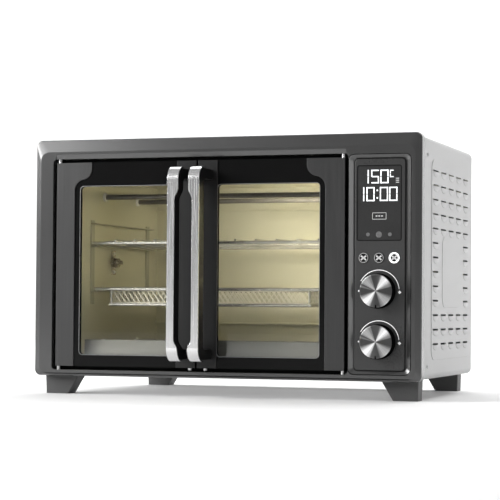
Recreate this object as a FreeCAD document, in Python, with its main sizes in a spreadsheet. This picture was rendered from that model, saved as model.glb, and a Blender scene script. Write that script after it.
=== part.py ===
import FreeCAD, Part
import math
import os
import re
import Sketcher

# A countertop toaster oven with two glass doors that meet in the middle.
# +X is the object's right as seen from the front, +Y goes to the rear and +Z is up.
# The origin is on the surface the oven stands on, in the middle of its width and of its depth.
# Depths are written from the front face of the bezel ("face depths"), and face_y moves them to the origin.

DIMENSIONS = (
    # bezel and case
    ("bezel_width", 540),
    ("bezel_height", 320),
    ("bezel_depth", 18),
    ("bezel_corner", 8),
    ("shoulder_depth", 2),
    ("shoulder_inset", 0.9),
    ("facet_depth", 2.6),
    ("facet_left", 8),
    ("facet_right", 8),
    ("facet_top", 16.5),
    ("facet_bottom", 3),
    ("facet_corner", 12),
    ("foot_height", 25),
    ("handle_reach", 51),
    ("rear_reach", 384),
    ("case_width", 534.4),
    ("case_low", 27),
    ("case_high", 343),
    ("case_rear", 318),
    ("case_sheet", 0.8),
    ("case_bend", 8),
    ("case_lip", 60),
    ("base_sheet", 1),
    ("cover_width", 488),
    ("cover_high", 332),
    ("cover_rear", 372),
    ("cover_corner", 12),
    # door opening
    ("opening_left", -243.5),
    ("opening_right", 173.4),
    ("opening_low", 33.3),
    ("opening_high", 318.6),
    ("opening_corner", 5),
    ("top_bevel", 6),
    ("top_bevel_depth", 1.6),
    # doors
    ("door_gap", 5),
    ("door_meeting_gap", 2.5),
    ("stile_front", 1.5),
    ("stile_plate", 1.5),
    ("door_rear", 16.5),
    ("door_wall", 1.5),
    ("door_front_plate", 3),
    ("window_outer_margin", 34.6),
    ("window_inner_margin", 27.6),
    ("window_low", 54.3),
    ("window_high", 281.2),
    ("window_corner", 4.5),
    ("glass_thick", 3.2),
    ("glass_overlap", 4),
    ("outer_stile_width", 26.6),
    ("flag_width", 51.5),
    ("flag_low", 276),
    ("flag_high", 305),
    ("inner_stile_width", 27.4),
    ("hinge_inset", 3),
    ("hinge_depth", 6),
    ("pin_radius", 2.5),
    ("pin_clearance", 0.05),
    ("pin_in_door", 9),
    ("pin_in_bezel", 6),
    ("boss_width", 11),
    ("boss_height", 12),
    ("boss_depth", 5),
    ("catch_offset", 11),
    ("catch_radius", 2.8),
    ("catch_drop", 3.2),
    # handles
    ("handle_low", 47.8),
    ("handle_high", 303.2),
    ("handle_inner", 7),
    ("handle_width", 15),
    ("handle_scoop", 5.2),
    ("scoop_low_end", 62),
    ("scoop_low_start", 78),
    ("scoop_high_start", 258),
    ("scoop_high_end", 275),
    ("strip_thick", 2.5),
    ("strip_round", 18),
    ("bar_depth", 21),
    ("arm_thick", 15.5),
    ("grip_inset", 0.6),
    ("finger_round", 7),
    # control column
    ("control_x", 215.2),
    ("recess_width", 81.8),
    ("recess_low", 34.6),
    ("recess_high", 316.8),
    ("recess_corner", 7),
    ("recess_rim", 5.2),
    ("recess_depth", 3),
    ("fascia_width", 66.4),
    ("fascia_low", 39.6),
    ("fascia_high", 311.2),
    ("fascia_corner", 4.5),
    ("fascia_front", 1.2),
    ("fascia_thick", 3),
    ("fascia_gap", 0.9),
    ("rim_groove", 1.1),
    ("rim_groove_depth", 1.5),
    ("fascia_ledge", 3.6),
    ("display_width", 58),
    ("display_low", 206.3),
    ("display_high", 302.1),
    ("display_corner", 2.5),
    ("key_height", 183.7),
    ("key_pitch", 20.3),
    ("key_radius", 6.6),
    ("key_flange", 7.4),
    ("key_travel", 0.8),
    ("upper_dial_height", 141.2),
    ("lower_dial_height", 76.2),
    ("dial_radius", 22),
    ("dial_front", 15),
    ("dial_cap", 1),
    ("dial_stem", 3),
    ("encoder_size", 14),
    ("board_front", 14),
    ("board_thick", 1.6),
    # cavity
    ("cavity_left", -208),
    ("cavity_right", 134),
    ("cavity_low", 50),
    ("cavity_high", 296),
    ("cavity_rear", 296),
    ("liner_sheet", 0.7),
    ("blanket", 10),
    ("heater_radius", 3.5),
    ("upper_heater_z", 272),
    ("lower_heater_z", 68),
    ("front_heater_y", 95),
    ("rear_heater_y", 215),
    ("rack_z", 206),
    ("rack_front", 45),
    ("rack_rear", 262),
    ("rack_bar", 2.2),
    ("rack_rod", 1.4),
    ("rack_pitch", 29),
    ("basket_rim_z", 143),
    ("basket_foot_z", 122),
    ("basket_bar", 2.4),
    ("basket_left", -180),
    ("basket_right", 110),
    ("basket_front", 50),
    ("basket_rear", 256),
    ("ledge_width", 9),
    ("ledge_thick", 1.5),
    ("probe_y", 128),
    ("probe_z", 181),
    # fan and electronics
    ("fan_y", 160),
    ("fan_z", 165),
    ("fan_hole", 50),
    ("fan_radius", 44),
    ("shaft_radius", 3),
    ("motor_radius", 28),
    ("motor_length", 32),
    ("shield_x", 155),
    ("lamp_y", 245),
    ("lamp_z", 274),
    ("lamp_radius", 12),
    ("cooling_radius", 38),
    # feet
    ("foot_top_width", 48),
    ("foot_bottom_width", 34),
    ("foot_depth", 24),
    ("front_foot_x", 262),
    ("front_foot_y", 22),
    ("rear_foot_x", 242),
    ("rear_foot_y", 346),
    # louvres and embossing of the side walls
    ("louvre_length", 30),
    ("louvre_height", 2.6),
    ("louvre_first_y", 90),
    ("louvre_pitch_y", 46),
    ("louvre_top_z", 300.5),
    ("louvre_pitch_z", 19),
    ("emboss_raise", 0.7),
    ("emboss_front", 68),
    ("emboss_rear", 304),
    ("emboss_low", 52),
    ("emboss_high", 315),
    ("emboss_corner", 14),
    ("badge_front", 128),
    ("badge_rear", 236),
    ("badge_low", 121),
    ("badge_high", 215),
)

LOUVRE_ROWS = 13
LOUVRE_COLUMNS = 5
PLAIN_ROWS = range(5, 10)      # rows whose middle louvres give way to the raised badge field
PLAIN_COLUMNS = range(1, 4)

SIZES = dict(DIMENSIONS)

doc = FreeCAD.newDocument("toaster_oven")
sheet = doc.addObject("Spreadsheet::Sheet", "dims")
for row, (alias, value) in enumerate(DIMENSIONS, start=1):
    sheet.set(f"A{row}", alias)
    sheet.set(f"B{row}", str(value))
    sheet.setAlias(f"B{row}", alias)
doc.recompute()

# Sizes that follow from the driving ones, as formulas in the sheet's words.
FORMULAS = {
    "face_y": "(handle_reach - rear_reach) / 2",
    "door_x": "(opening_left + opening_right) / 2",
    "door_half": "(opening_right - opening_left) / 2 - door_gap",
    "door_low": "opening_low + door_gap",
    "door_high": "opening_high - door_gap",
    "plate_y": "stile_front + stile_plate",
    "window_outer": "door_half - window_outer_margin",
    "window_inner": "window_inner_margin + door_meeting_gap / 2",
    "glass_y": "plate_y + door_front_plate",
    "retainer_y": "glass_y + glass_thick",
    "hinge_offset": "door_half - hinge_inset",
    "case_half": "case_width / 2",
    "fascia_rear": "fascia_front + fascia_thick",
    "shield_right": "shield_x + 1.2",
    "base_top": "case_low + case_sheet + base_sheet",
    "cover_half": "cover_width / 2",
}


def spelled(text):
    """A formula with every derived word written out in driving words."""
    text = str(text)
    for _ in range(4):
        text = re.sub(r"[a-z_]+", lambda m: f"({FORMULAS[m[0]]})" if m[0] in FORMULAS else m[0], text)
    return text


def formula(text):
    """The formula as an expression on the sheet's cells."""
    return re.sub(r"[a-z_]+", lambda m: f"dims.{m[0]}" if m[0] in SIZES else m[0], spelled(text))


def number(text):
    """The formula's value in millimetres."""
    plain = re.sub(r"[a-z_]+", lambda m: f"({sheet.get(m[0])})" if m[0] in SIZES else m[0], spelled(text))
    return FreeCAD.Units.parseQuantity(plain).Value


def bind(item, **properties):
    """Binds properties of a document object to formulas; two underscores stand for a dot."""
    for name, text in properties.items():
        item.setExpression(name.replace("__", "."), formula(text))


# ---------------------------------------------------------------- primitives and booleans

def box(name, low, high):
    """A box between two corners, each given as three formulas with a face depth for Y."""
    item = doc.addObject("Part::Box", name)
    bind(
        item,
        Length=f"({high[0]}) - ({low[0]})",
        Width=f"({high[1]}) - ({low[1]})",
        Height=f"({high[2]}) - ({low[2]})",
        Placement__Base__x=low[0],
        Placement__Base__y=f"face_y + ({low[1]})",
        Placement__Base__z=low[2],
    )
    return item


TURNS = {
    "x": FreeCAD.Rotation(FreeCAD.Vector(0, 1, 0), 90),
    "y": FreeCAD.Rotation(FreeCAD.Vector(1, 0, 0), -90),
    "z": FreeCAD.Rotation(),
}


def rod(name, axis, radius, start, length):
    """A cylinder from a start point along +X, +Y or +Z."""
    item = doc.addObject("Part::Cylinder", name)
    item.Placement = FreeCAD.Placement(FreeCAD.Vector(), TURNS[axis])
    bind(
        item,
        Radius=radius,
        Height=length,
        Placement__Base__x=start[0],
        Placement__Base__y=f"face_y + ({start[1]})",
        Placement__Base__z=start[2],
    )
    return item


def fuse(name, *items):
    """One solid from several that touch or overlap."""
    item = doc.addObject("Part::MultiFuse", name)
    item.Shapes = list(items)
    item.Refine = True
    return item


def cut(name, base, *tools):
    """The base with every tool taken out of it."""
    item = doc.addObject("Part::Cut", name)
    item.Base = base
    item.Tool = tools[0] if len(tools) == 1 else fuse(f"{name}_tools", *tools)
    return item


def group(name, *items):
    """Several separate solids that share one node."""
    item = doc.addObject("Part::Compound", name)
    item.Links = list(items)
    return item


# ---------------------------------------------------------------- bodies and sketches

# Each origin plane's own axes: sketch x, sketch y and normal, as the row's X, Y and Z.
PLANES = {"XY_Plane": (0, 0, 1), "XZ_Plane": (0, -1, 0), "YZ_Plane": (1, 0, 0)}


def new_body(name):
    """An empty body that stands at the face depth."""
    item = doc.addObject("PartDesign::Body", name)
    bind(item, Placement__Base__y="face_y")
    return item


def new_sketch(body, name, plane, centre=("0", "0"), level="0"):
    """A sketch on an origin plane, moved to its centre and to its level along +X, +Y or +Z."""
    item = body.newObject("Sketcher::SketchObject", name)
    support = [part for part in body.Origin.OriginFeatures if part.Role == plane][0]
    item.AttachmentSupport = [(support, "")]
    item.MapMode = "FlatFace"
    along = f"-({level})" if plane == "XZ_Plane" else level
    bind(
        item,
        AttachmentOffset__Base__x=centre[0],
        AttachmentOffset__Base__y=centre[1],
        AttachmentOffset__Base__z=along,
    )
    return item


def vector(x, y):
    return FreeCAD.Vector(x, y, 0)


def rounded_outline(sketch, width, height, radius):
    """A rectangle with round corners about the sketch's centre, its sizes bound to formulas."""
    half_w, half_h, r = number(width) / 2, number(height) / 2, number(radius)
    first = sketch.GeometryCount
    corners = ((1, 1), (-1, 1), (-1, -1), (1, -1))
    for index, (sx, sy) in enumerate(corners):
        centre = vector(sx * (half_w - r), sy * (half_h - r))
        start = math.radians(90 * index)
        circle = Part.Circle(centre, vector(0, 0) + FreeCAD.Vector(0, 0, 1), r)
        sketch.addGeometry(Part.ArcOfCircle(circle, start, start + math.pi / 2))
    for index in range(4):
        arc, following = sketch.Geometry[first + index], sketch.Geometry[first + (index + 1) % 4]
        sketch.addGeometry(Part.LineSegment(arc.EndPoint, following.StartPoint))
    for index in range(4):
        line = first + 4 + index
        sketch.addConstraint(Sketcher.Constraint("Tangent", first + index, 2, line, 1))
        sketch.addConstraint(Sketcher.Constraint("Tangent", line, 2, first + (index + 1) % 4, 1))
        direction = "Horizontal" if index % 2 == 0 else "Vertical"
        sketch.addConstraint(Sketcher.Constraint(direction, line))
    for index in range(1, 4):
        sketch.addConstraint(Sketcher.Constraint("Equal", first, first + index))
    top, left, bottom, right = (first + 4 + index for index in range(4))
    sketch.addConstraint(Sketcher.Constraint("Symmetric", left, 1, right, 1, -1, 1))
    for text, kind, name, ends in (
        (radius, "Radius", "corner", (first,)),
        (width, "DistanceX", "width", (left, 1, right, 1)),
        (height, "DistanceY", "height", (bottom, 1, top, 1)),
    ):
        sketch.addConstraint(Sketcher.Constraint(kind, *ends, number(text)))
        position = sketch.ConstraintCount - 1
        sketch.renameConstraint(position, f"{name}_{first}")
        sketch.setExpression(f"Constraints.{name}_{first}", formula(text))


def circle_outline(sketch, radius, centre=(0, 0)):
    """A circle whose radius is bound to a formula."""
    index = sketch.addGeometry(Part.Circle(vector(*centre), FreeCAD.Vector(0, 0, 1), number(radius)))
    sketch.addConstraint(Sketcher.Constraint("Radius", index, number(radius)))
    name = f"radius_{index}"
    sketch.renameConstraint(sketch.ConstraintCount - 1, name)
    sketch.setExpression(f"Constraints.{name}", formula(radius))
    sketch.addConstraint(Sketcher.Constraint("Block", index))


def chain_outline(sketch, steps):
    """A closed outline from ("line", end) and ("arc", middle, end) steps; the first is ("start", point)."""
    here = steps[0][1]
    first = sketch.GeometryCount
    for step in steps[1:]:
        if step[0] == "line":
            edge = Part.LineSegment(vector(*here), vector(*step[1]))
        else:
            edge = Part.Arc(vector(*here), vector(*step[1]), vector(*step[2]))
        sketch.addGeometry(edge)
        here = step[-1]
    count = sketch.GeometryCount - first
    for index in range(count):
        sketch.addConstraint(Sketcher.Constraint("Block", first + index))


def slot_outline(sketch, centre, length, height):
    """A small rectangular slot, for rows of vents."""
    x, y = centre
    dx, dy = length / 2, height / 2
    corners = ((x - dx, y - dy), (x + dx, y - dy), (x + dx, y + dy), (x - dx, y + dy))
    chain_outline(sketch, [("start", corners[0])] + [("line", corner) for corner in corners[1:] + corners[:1]])


def corner_arc(corner, before, after, radius):
    """Start, middle and end of the arc that rounds a right-angled corner between two directions."""
    start = (corner[0] + before[0] * radius, corner[1] + before[1] * radius)
    end = (corner[0] + after[0] * radius, corner[1] + after[1] * radius)
    reach = radius * (1 - math.sqrt(0.5))
    middle = (corner[0] + (before[0] + after[0]) * reach, corner[1] + (before[1] + after[1]) * reach)
    return start, middle, end


def ogee(start, end):
    """Steps of an S-curve of two equal arcs that leaves and arrives upright."""
    dx, dy = end[0] - start[0], end[1] - start[1]
    radius = (dx * dx + dy * dy) / (4 * abs(dx))
    half_turn = math.atan2(abs(dx), abs(dy))
    side, rise = math.copysign(1, dx), math.copysign(1, dy)
    across, along = radius * (1 - math.cos(half_turn)), radius * math.sin(half_turn)
    first = (start[0] + side * across, start[1] + rise * along)
    centre = (start[0] + dx / 2, start[1] + dy / 2)
    second = (end[0] - side * across, end[1] - rise * along)
    return [("arc", first, centre), ("arc", second, end)]


def raise_pad(body, sketch, length, backwards=False):
    """A pad whose length is bound to a formula."""
    item = body.newObject("PartDesign::Pad", f"{sketch.Name}_pad")
    item.Profile = sketch
    item.Reversed = backwards
    bind(item, Length=length)
    doc.recompute()
    return item


def sink_pocket(body, sketch, length, backwards=False):
    """A pocket whose depth is bound to a formula; stops if it cuts nothing."""
    before = body.Shape.Volume
    item = body.newObject("PartDesign::Pocket", f"{sketch.Name}_pocket")
    item.Profile = sketch
    item.Reversed = backwards
    bind(item, Length=length)
    doc.recompute()
    if body.Shape.Volume > before - 0.01:
        raise ValueError(f"{item.Name} cuts nothing")
    return item


def round_edges(body, radius, chosen):
    """Rounds the edges of the body's tip that the test picks."""
    tip = body.Tip
    names = [f"Edge{n}" for n, edge in enumerate(tip.Shape.Edges, start=1) if chosen(edge.BoundBox)]
    item = body.newObject("PartDesign::Fillet", f"{body.Name}_fillet_{len(body.Group)}")
    item.Base = (tip, names)
    bind(item, Radius=radius)
    doc.recompute()
    return item


def in_plane(low, high, level):
    return abs(low - level) < 1e-4 and abs(high - level) < 1e-4


THROUGH = "600"
nodes = {}


def keep(name, item):
    """Names a finished sub-part."""
    item.Label = name
    nodes[name] = item
    return item


# ---------------------------------------------------------------- casing

def make_bezel():
    """The moulded frame round the doors and the control column."""
    body = new_body("front_bezel_body")
    middle = "foot_height + bezel_height / 2"
    outline = new_sketch(body, "bezel_outline", "XZ_Plane", ("0", middle))
    rounded_outline(outline, "bezel_width", "bezel_height", "bezel_corner")
    outline.setExpression("AttachmentOffset.Base.z", formula("-(facet_depth + shoulder_depth)"))
    raise_pad(body, outline, "bezel_depth - facet_depth - shoulder_depth", backwards=True)
    foot = new_sketch(body, "facet_foot", "XZ_Plane", ("0", middle), "facet_depth + shoulder_depth")
    rounded_outline(foot, "bezel_width", "bezel_height", "bezel_corner")
    shoulder = new_sketch(body, "facet_shoulder", "XZ_Plane", ("0", middle), "facet_depth")
    rounded_outline(
        shoulder, "bezel_width - 2 * shoulder_inset", "bezel_height - 2 * shoulder_inset",
        "bezel_corner - shoulder_inset"
    )
    crown = new_sketch(
        body, "facet_crown", "XZ_Plane",
        ("(facet_left - facet_right) / 2", f"{middle} + (facet_bottom - facet_top) / 2")
    )
    rounded_outline(
        crown, "bezel_width - facet_left - facet_right", "bezel_height - facet_top - facet_bottom", "facet_corner"
    )
    facets = body.newObject("PartDesign::AdditiveLoft", "sloped_facets")
    facets.Profile = foot
    facets.Sections = [shoulder, crown]
    facets.Ruled = True
    doc.recompute()

    opening = new_sketch(
        body, "door_opening", "XZ_Plane", ("door_x", "(opening_low + opening_high) / 2"), "-1"
    )
    rounded_outline(opening, "opening_right - opening_left", "opening_high - opening_low", "opening_corner")
    sink_pocket(body, opening, THROUGH)

    bevel = new_sketch(body, "top_bevel", "YZ_Plane", ("0", "opening_high"), "opening_right - 4")
    lip, depth = number("top_bevel"), number("top_bevel_depth")
    chain_outline(bevel, [("start", (-1, -1)), ("line", (depth, -1)), ("line", (depth, 0)),
                          ("line", (0, lip)), ("line", (-1, lip)), ("line", (-1, -1))])
    sink_pocket(body, bevel, "opening_right - opening_left - 8")

    rim_centre = ("control_x", "(recess_low + recess_high) / 2")
    front = new_sketch(body, "rim_front", "XZ_Plane", rim_centre)
    rounded_outline(front, "recess_width", "recess_high - recess_low", "recess_corner")
    back = new_sketch(body, "rim_back", "XZ_Plane", rim_centre, "recess_depth")
    rounded_outline(
        back, "recess_width - 2 * recess_rim", "recess_high - recess_low - 2 * recess_rim", "fascia_corner"
    )
    rim = body.newObject("PartDesign::SubtractiveLoft", "sloped_rim")
    rim.Profile = front
    rim.Sections = [back]
    rim.Ruled = True
    doc.recompute()

    channel = new_sketch(body, "rim_groove", "XZ_Plane", rim_centre, "-1")
    for wider in ("2 * rim_groove", "0"):
        rounded_outline(
            channel, f"recess_width + {wider}", f"recess_high - recess_low + {wider}",
            "recess_corner" if wider == "0" else "recess_corner + rim_groove"
        )
    sink_pocket(body, channel, "rim_groove_depth + 1")

    plate_centre = ("control_x", "(fascia_low + fascia_high) / 2")
    seat = new_sketch(body, "fascia_seat", "XZ_Plane", plate_centre, "-1")
    rounded_outline(
        seat, "fascia_width + 2 * fascia_gap", "fascia_high - fascia_low + 2 * fascia_gap",
        "fascia_corner + fascia_gap"
    )
    sink_pocket(body, seat, "fascia_rear + 1")
    window = new_sketch(body, "fascia_window", "XZ_Plane", plate_centre, "-1")
    rounded_outline(
        window, "fascia_width - 2 * fascia_ledge", "fascia_high - fascia_low - 2 * fascia_ledge", "2"
    )
    sink_pocket(body, window, THROUGH)

    groove = new_sketch(body, "bottom_groove", "YZ_Plane", ("0", "foot_height + 3.4"), "bezel_width / 2 - 12")
    slot_outline(groove, (0, 0), 2.4, 1.2)
    sink_pocket(body, groove, "bezel_width - 24")

    hollow_y = "bezel_depth + 1"
    for name, left, right in (("wide", "opening_left + 16", "opening_right - 16"),
                              ("short", "control_x - 34", "control_x + 34")):
        duct = new_sketch(
            body, f"{name}_channel", "XZ_Plane", (f"({left} + {right}) / 2", "opening_high + 15"), hollow_y
        )
        rounded_outline(duct, f"({right}) - ({left})", "13", "3")
        sink_pocket(body, duct, "bezel_depth - 4", backwards=True)
    side = new_sketch(
        body, "side_channel", "XZ_Plane", ("opening_left - 13.5", "(opening_low + opening_high) / 2"), hollow_y
    )
    rounded_outline(side, "14", "opening_high - opening_low - 40", "3")
    sink_pocket(body, side, "bezel_depth - 4", backwards=True)

    for name, level, upward in (("top", "opening_high", True), ("bottom", "opening_low", False)):
        bores = new_sketch(body, f"{name}_bores", "XY_Plane", ("door_x", "hinge_depth"), level)
        for sign in (-1, 1):
            circle_outline(bores, "pin_radius + pin_clearance", (sign * number("hinge_offset"), 0))
        sink_pocket(body, bores, "pin_in_bezel + 0.6", backwards=upward)
    keep("front_bezel", body)


def louvre_places():
    """Centres of the louvres, as depth and height on a side wall."""
    for row in range(LOUVRE_ROWS):
        for column in range(LOUVRE_COLUMNS):
            if row in PLAIN_ROWS and column in PLAIN_COLUMNS:
                continue
            yield (
                number("louvre_first_y") + column * number("louvre_pitch_y"),
                number("louvre_top_z") - row * number("louvre_pitch_z"),
            )


def make_case():
    """The wrap-round sheet: top and two louvred sides with raised fields, and a lip under each side."""
    body = new_body("outer_case_body")
    middle = "(case_low + case_high) / 2"
    outline = new_sketch(body, "case_outline", "XZ_Plane", ("0", middle), "bezel_depth")
    rounded_outline(outline, "case_width", "case_high - case_low", "case_bend")
    raise_pad(body, outline, "case_rear - bezel_depth", backwards=True)
    for sign, name in ((1, "right"), (-1, "left")):
        for field, front, rear, low, high, proud in (
            ("field", "emboss_front", "emboss_rear", "emboss_low", "emboss_high", "emboss_raise"),
            ("badge", "badge_front", "badge_rear", "badge_low", "badge_high", "emboss_raise + 0.5"),
        ):
            raised = new_sketch(
                body, f"{name}_{field}", "YZ_Plane", (f"({front} + {rear}) / 2", f"({low} + {high}) / 2"),
                f"{sign} * case_half"
            )
            rounded_outline(raised, f"{rear} - {front}", f"{high} - {low}", "emboss_corner")
            raise_pad(body, raised, proud, backwards=sign < 0)
    inside = new_sketch(body, "case_inside", "XZ_Plane", ("0", middle), "bezel_depth - 1")
    rounded_outline(
        inside, "case_width - 2 * case_sheet", "case_high - case_low - 2 * case_sheet", "case_bend - case_sheet"
    )
    sink_pocket(body, inside, THROUGH)
    under = new_sketch(body, "case_under", "XZ_Plane", ("0", "case_low"), "bezel_depth - 1")
    slot_outline(under, (0, 0), number("case_width - 2 * case_lip"), 4)
    sink_pocket(body, under, THROUGH)
    louvres = new_sketch(body, "louvres", "YZ_Plane", ("0", "0"), "case_width")
    for place in louvre_places():
        slot_outline(louvres, place, number("louvre_length"), number("louvre_height"))
    sink_pocket(body, louvres, "2 * case_width")
    keep("outer_case", body)


def make_panels():
    """Base plate, the rear panel that closes the case, and the deep vented cover behind it."""
    base = fuse(
        "base_sheets",
        box("base_front", ("-case_half + case_bend", "bezel_depth", "case_low + case_sheet"),
            ("case_half - case_bend", "case_rear - 2", "base_top")),
        box("base_rear", ("-cover_half", "case_rear - 2", "case_low + case_sheet"),
            ("cover_half", "cover_rear", "base_top")),
    )
    vents = [
        box(f"base_vent_{n}", (f"{x}", "110", "case_low"), (f"{x + 4}", "230", "case_low + 4"))
        for n, x in enumerate(range(-120, 61, 20))
    ]
    keep("base_plate", cut("base_cut", base, *vents))

    top = "case_high - case_sheet"
    middle = "(base_top + cover_high) / 2"
    panel = new_body("rear_panel_body")
    flange = new_sketch(panel, "panel_outline", "XZ_Plane", ("0", f"(base_top + {top}) / 2"), "case_rear - 2")
    rounded_outline(flange, "case_width - 2 * case_sheet", f"{top} - (base_top)", "case_bend - case_sheet")
    raise_pad(panel, flange, "base_sheet", backwards=True)
    mouth = new_sketch(panel, "panel_mouth", "XZ_Plane", ("0", middle), "case_rear - 4")
    rounded_outline(mouth, "cover_width - 24", "cover_high - (base_top) - 24", "cover_corner")
    sink_pocket(panel, mouth, "10")
    keep("rear_panel", panel)

    body = new_body("rear_cover_body")
    bulge = new_sketch(body, "cover_bulge", "XZ_Plane", ("0", middle), "case_rear - 2 + base_sheet")
    rounded_outline(bulge, "cover_width", "cover_high - (base_top)", "cover_corner")
    raise_pad(body, bulge, "cover_rear - case_rear + 2 - base_sheet", backwards=True)
    round_edges(body, "5", lambda b: in_plane(b.YMin, b.YMax, number("cover_rear")))
    room = new_sketch(body, "cover_room", "XZ_Plane", ("0", middle), "case_rear - 4")
    rounded_outline(
        room, "cover_width - 2 * base_sheet", "cover_high - (base_top) - 2 * base_sheet",
        "cover_corner - base_sheet"
    )
    sink_pocket(body, room, "cover_rear - case_rear + 4 - base_sheet")
    vents = new_sketch(body, "rear_vents", "XZ_Plane", ("0", "0"), "cover_rear - 4")
    for row in range(6):
        for column in range(5):
            slot_outline(vents, (-72 + column * 36, 252 + row * 10), 26, 3)
        for column in range(2):
            slot_outline(vents, (180 + column * 32, 190 + row * 10), 24, 3)
    sink_pocket(body, vents, "10")
    hole = new_sketch(body, "gland_hole", "XZ_Plane", ("control_x", "62"), "cover_rear - 4")
    circle_outline(hole, "7")
    sink_pocket(body, hole, "10")
    keep("rear_cover", body)


def make_feet():
    """Four feet with an upright outer side and a slanted inner side."""
    wide, narrow = number("foot_top_width"), number("foot_bottom_width")
    for front in (True, False):
        for sign, side in ((-1, "left"), (1, "right")):
            end = "front" if front else "rear"
            height = number("case_low" if front else "case_low + case_sheet")
            name = f"{end}_{side}_foot"
            body = new_body(f"{name}_body")
            outline = new_sketch(
                body, f"{name}_outline", "XZ_Plane", (f"{sign} * {end}_foot_x", "0"), f"{end}_foot_y"
            )
            inward = -sign
            chain_outline(outline, [
                ("start", (inward * 1.2, 0)),
                ("line", (inward * narrow, 0)),
                ("line", (inward * wide, height - 4)),
                ("line", (inward * wide, height)),
                ("line", (0, height)),
                ("line", (inward * 1.2, 0)),
            ])
            raise_pad(body, outline, "foot_depth", backwards=True)
            round_edges(body, "1.2", lambda b: in_plane(b.ZMin, b.ZMax, 0) is False and b.ZLength > 5)
            keep(name, body)


# ---------------------------------------------------------------- cavity

def make_liner():
    """The cooking cavity: a five-sided shell with a front flange that backs the bezel."""
    sheet_t = "liner_sheet"
    shell = box(
        "liner_shell",
        (f"cavity_left - {sheet_t}", "bezel_depth", f"cavity_low - {sheet_t}"),
        (f"cavity_right + {sheet_t}", f"cavity_rear + {sheet_t}", f"cavity_high + {sheet_t}"),
    )
    flange = box(
        "liner_flange",
        ("opening_left - 5", "bezel_depth", "opening_low - 3.5"),
        ("opening_right + 3", "bezel_depth + liner_sheet", "opening_high + 4"),
    )
    hollow = box(
        "liner_hollow", ("cavity_left", "bezel_depth - 1", "cavity_low"),
        ("cavity_right", "cavity_rear", "cavity_high")
    )
    ledges = [
        box(f"rear_ledge_{n}", ("cavity_left", "cavity_rear - 5", f"{z}"),
            ("cavity_right", "cavity_rear", f"{z} + 3"))
        for n, z in enumerate((94, 262))
    ]
    holes = [
        rod(f"heater_hole_{n}", "x", "heater_radius", ("cavity_left - 5", y, z),
            "cavity_right - cavity_left + 10")
        for n, (y, z) in enumerate(heater_places())
    ]
    holes.append(rod("fan_opening", "x", "fan_hole", ("cavity_right - 5", "fan_y", "fan_z"), "10"))
    holes.append(rod("lamp_opening", "x", "lamp_radius", ("cavity_right - 5", "lamp_y", "lamp_z"), "10"))
    shells = cut("liner_walls", fuse("liner_solid", shell, flange), hollow)
    keep("cavity_liner", cut("liner_cut", fuse("liner_ledged", shells, *ledges), *holes))

    blanket = box(
        "blanket_solid",
        ("cavity_left - liner_sheet - blanket", "bezel_depth + 6", "cavity_low - liner_sheet"),
        ("cavity_right + liner_sheet + blanket", "cavity_rear + liner_sheet + blanket",
         "cavity_high + liner_sheet + blanket"),
    )
    inner = box(
        "blanket_inside", ("cavity_left - liner_sheet", "bezel_depth", "cavity_low - 10"),
        ("cavity_right + liner_sheet", "cavity_rear + liner_sheet", "cavity_high + liner_sheet")
    )
    fan_room = rod("blanket_fan_room", "x", "fan_hole + 6", ("cavity_right", "fan_y", "fan_z"), "30")
    lamp_room = rod("blanket_lamp_room", "x", "lamp_radius + 6", ("cavity_right", "lamp_y", "lamp_z"), "30")
    keep("insulation_blanket", cut("blanket_cut", blanket, inner, fan_room, lamp_room))


def heater_places():
    """Depth and height of the four heating tubes."""
    return [(y, z) for z in ("upper_heater_z", "lower_heater_z") for y in ("front_heater_y", "rear_heater_y")]


def make_heaters():
    """Two heating tubes above the food and two below, held in the side walls."""
    tubes = [
        rod(f"heater_{n}", "x", "heater_radius", ("cavity_left - liner_sheet", y, z),
            "cavity_right - cavity_left + 2 * liner_sheet")
        for n, (y, z) in enumerate(heater_places())
    ]
    keep("heating_tubes", group("heater_set", *tubes))


def make_guides():
    """A shelf guide on each side wall: two uprights and three ledges."""
    levels = ("rack_z + 28", "rack_z - rack_bar", "basket_rim_z - basket_bar")
    for side, wall, sign in (("left", "cavity_left", 1), ("right", "cavity_right", -1)):
        def strip(name, depth, height, reach):
            ends = (wall, f"{wall} + {sign} * {reach}")
            low_x, high_x = ends if sign > 0 else ends[::-1]
            return box(name, (low_x, depth[0], height[0]), (high_x, depth[1], height[1]))
        parts = [
            strip(f"{side}_upright_{n}", (y, f"{y} + 12"), ("basket_foot_z", "rack_z + 32"), "1.2")
            for n, y in enumerate(("48", "250"))
        ]
        parts += [
            strip(f"{side}_ledge_{n}", ("48", "262"), (f"{z} - ledge_thick", z), "ledge_width")
            for n, z in enumerate(levels)
        ]
        keep(f"{side}_rack_guide", fuse(f"{side}_guide", *parts))


def make_rack():
    """The wire rack: a frame of thick wire with thin rods welded on top."""
    left, right = "cavity_left + 6", "cavity_right - 6"
    wires = [
        rod(f"rack_bar_{n}", "x", "rack_bar", (left, y, "rack_z"), f"({right}) - ({left})")
        for n, y in enumerate(("rack_front", "rack_rear", "(rack_front + rack_rear) / 2"))
    ]
    wires += [
        rod(f"rack_side_{n}", "y", "rack_bar", (x, "rack_front", "rack_z"), "rack_rear - rack_front")
        for n, x in enumerate((left, right))
    ]
    wires += [
        rod(f"rack_rod_{n}", "y", "rack_rod",
            (f"cavity_right - 13 - {n} * rack_pitch", "rack_front - 3", "rack_z + rack_bar + rack_rod - 0.3"),
            "rack_rear - rack_front + 6")
        for n in range(11)
    ]
    keep("wire_rack", fuse("rack_wires", *wires))


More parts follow.
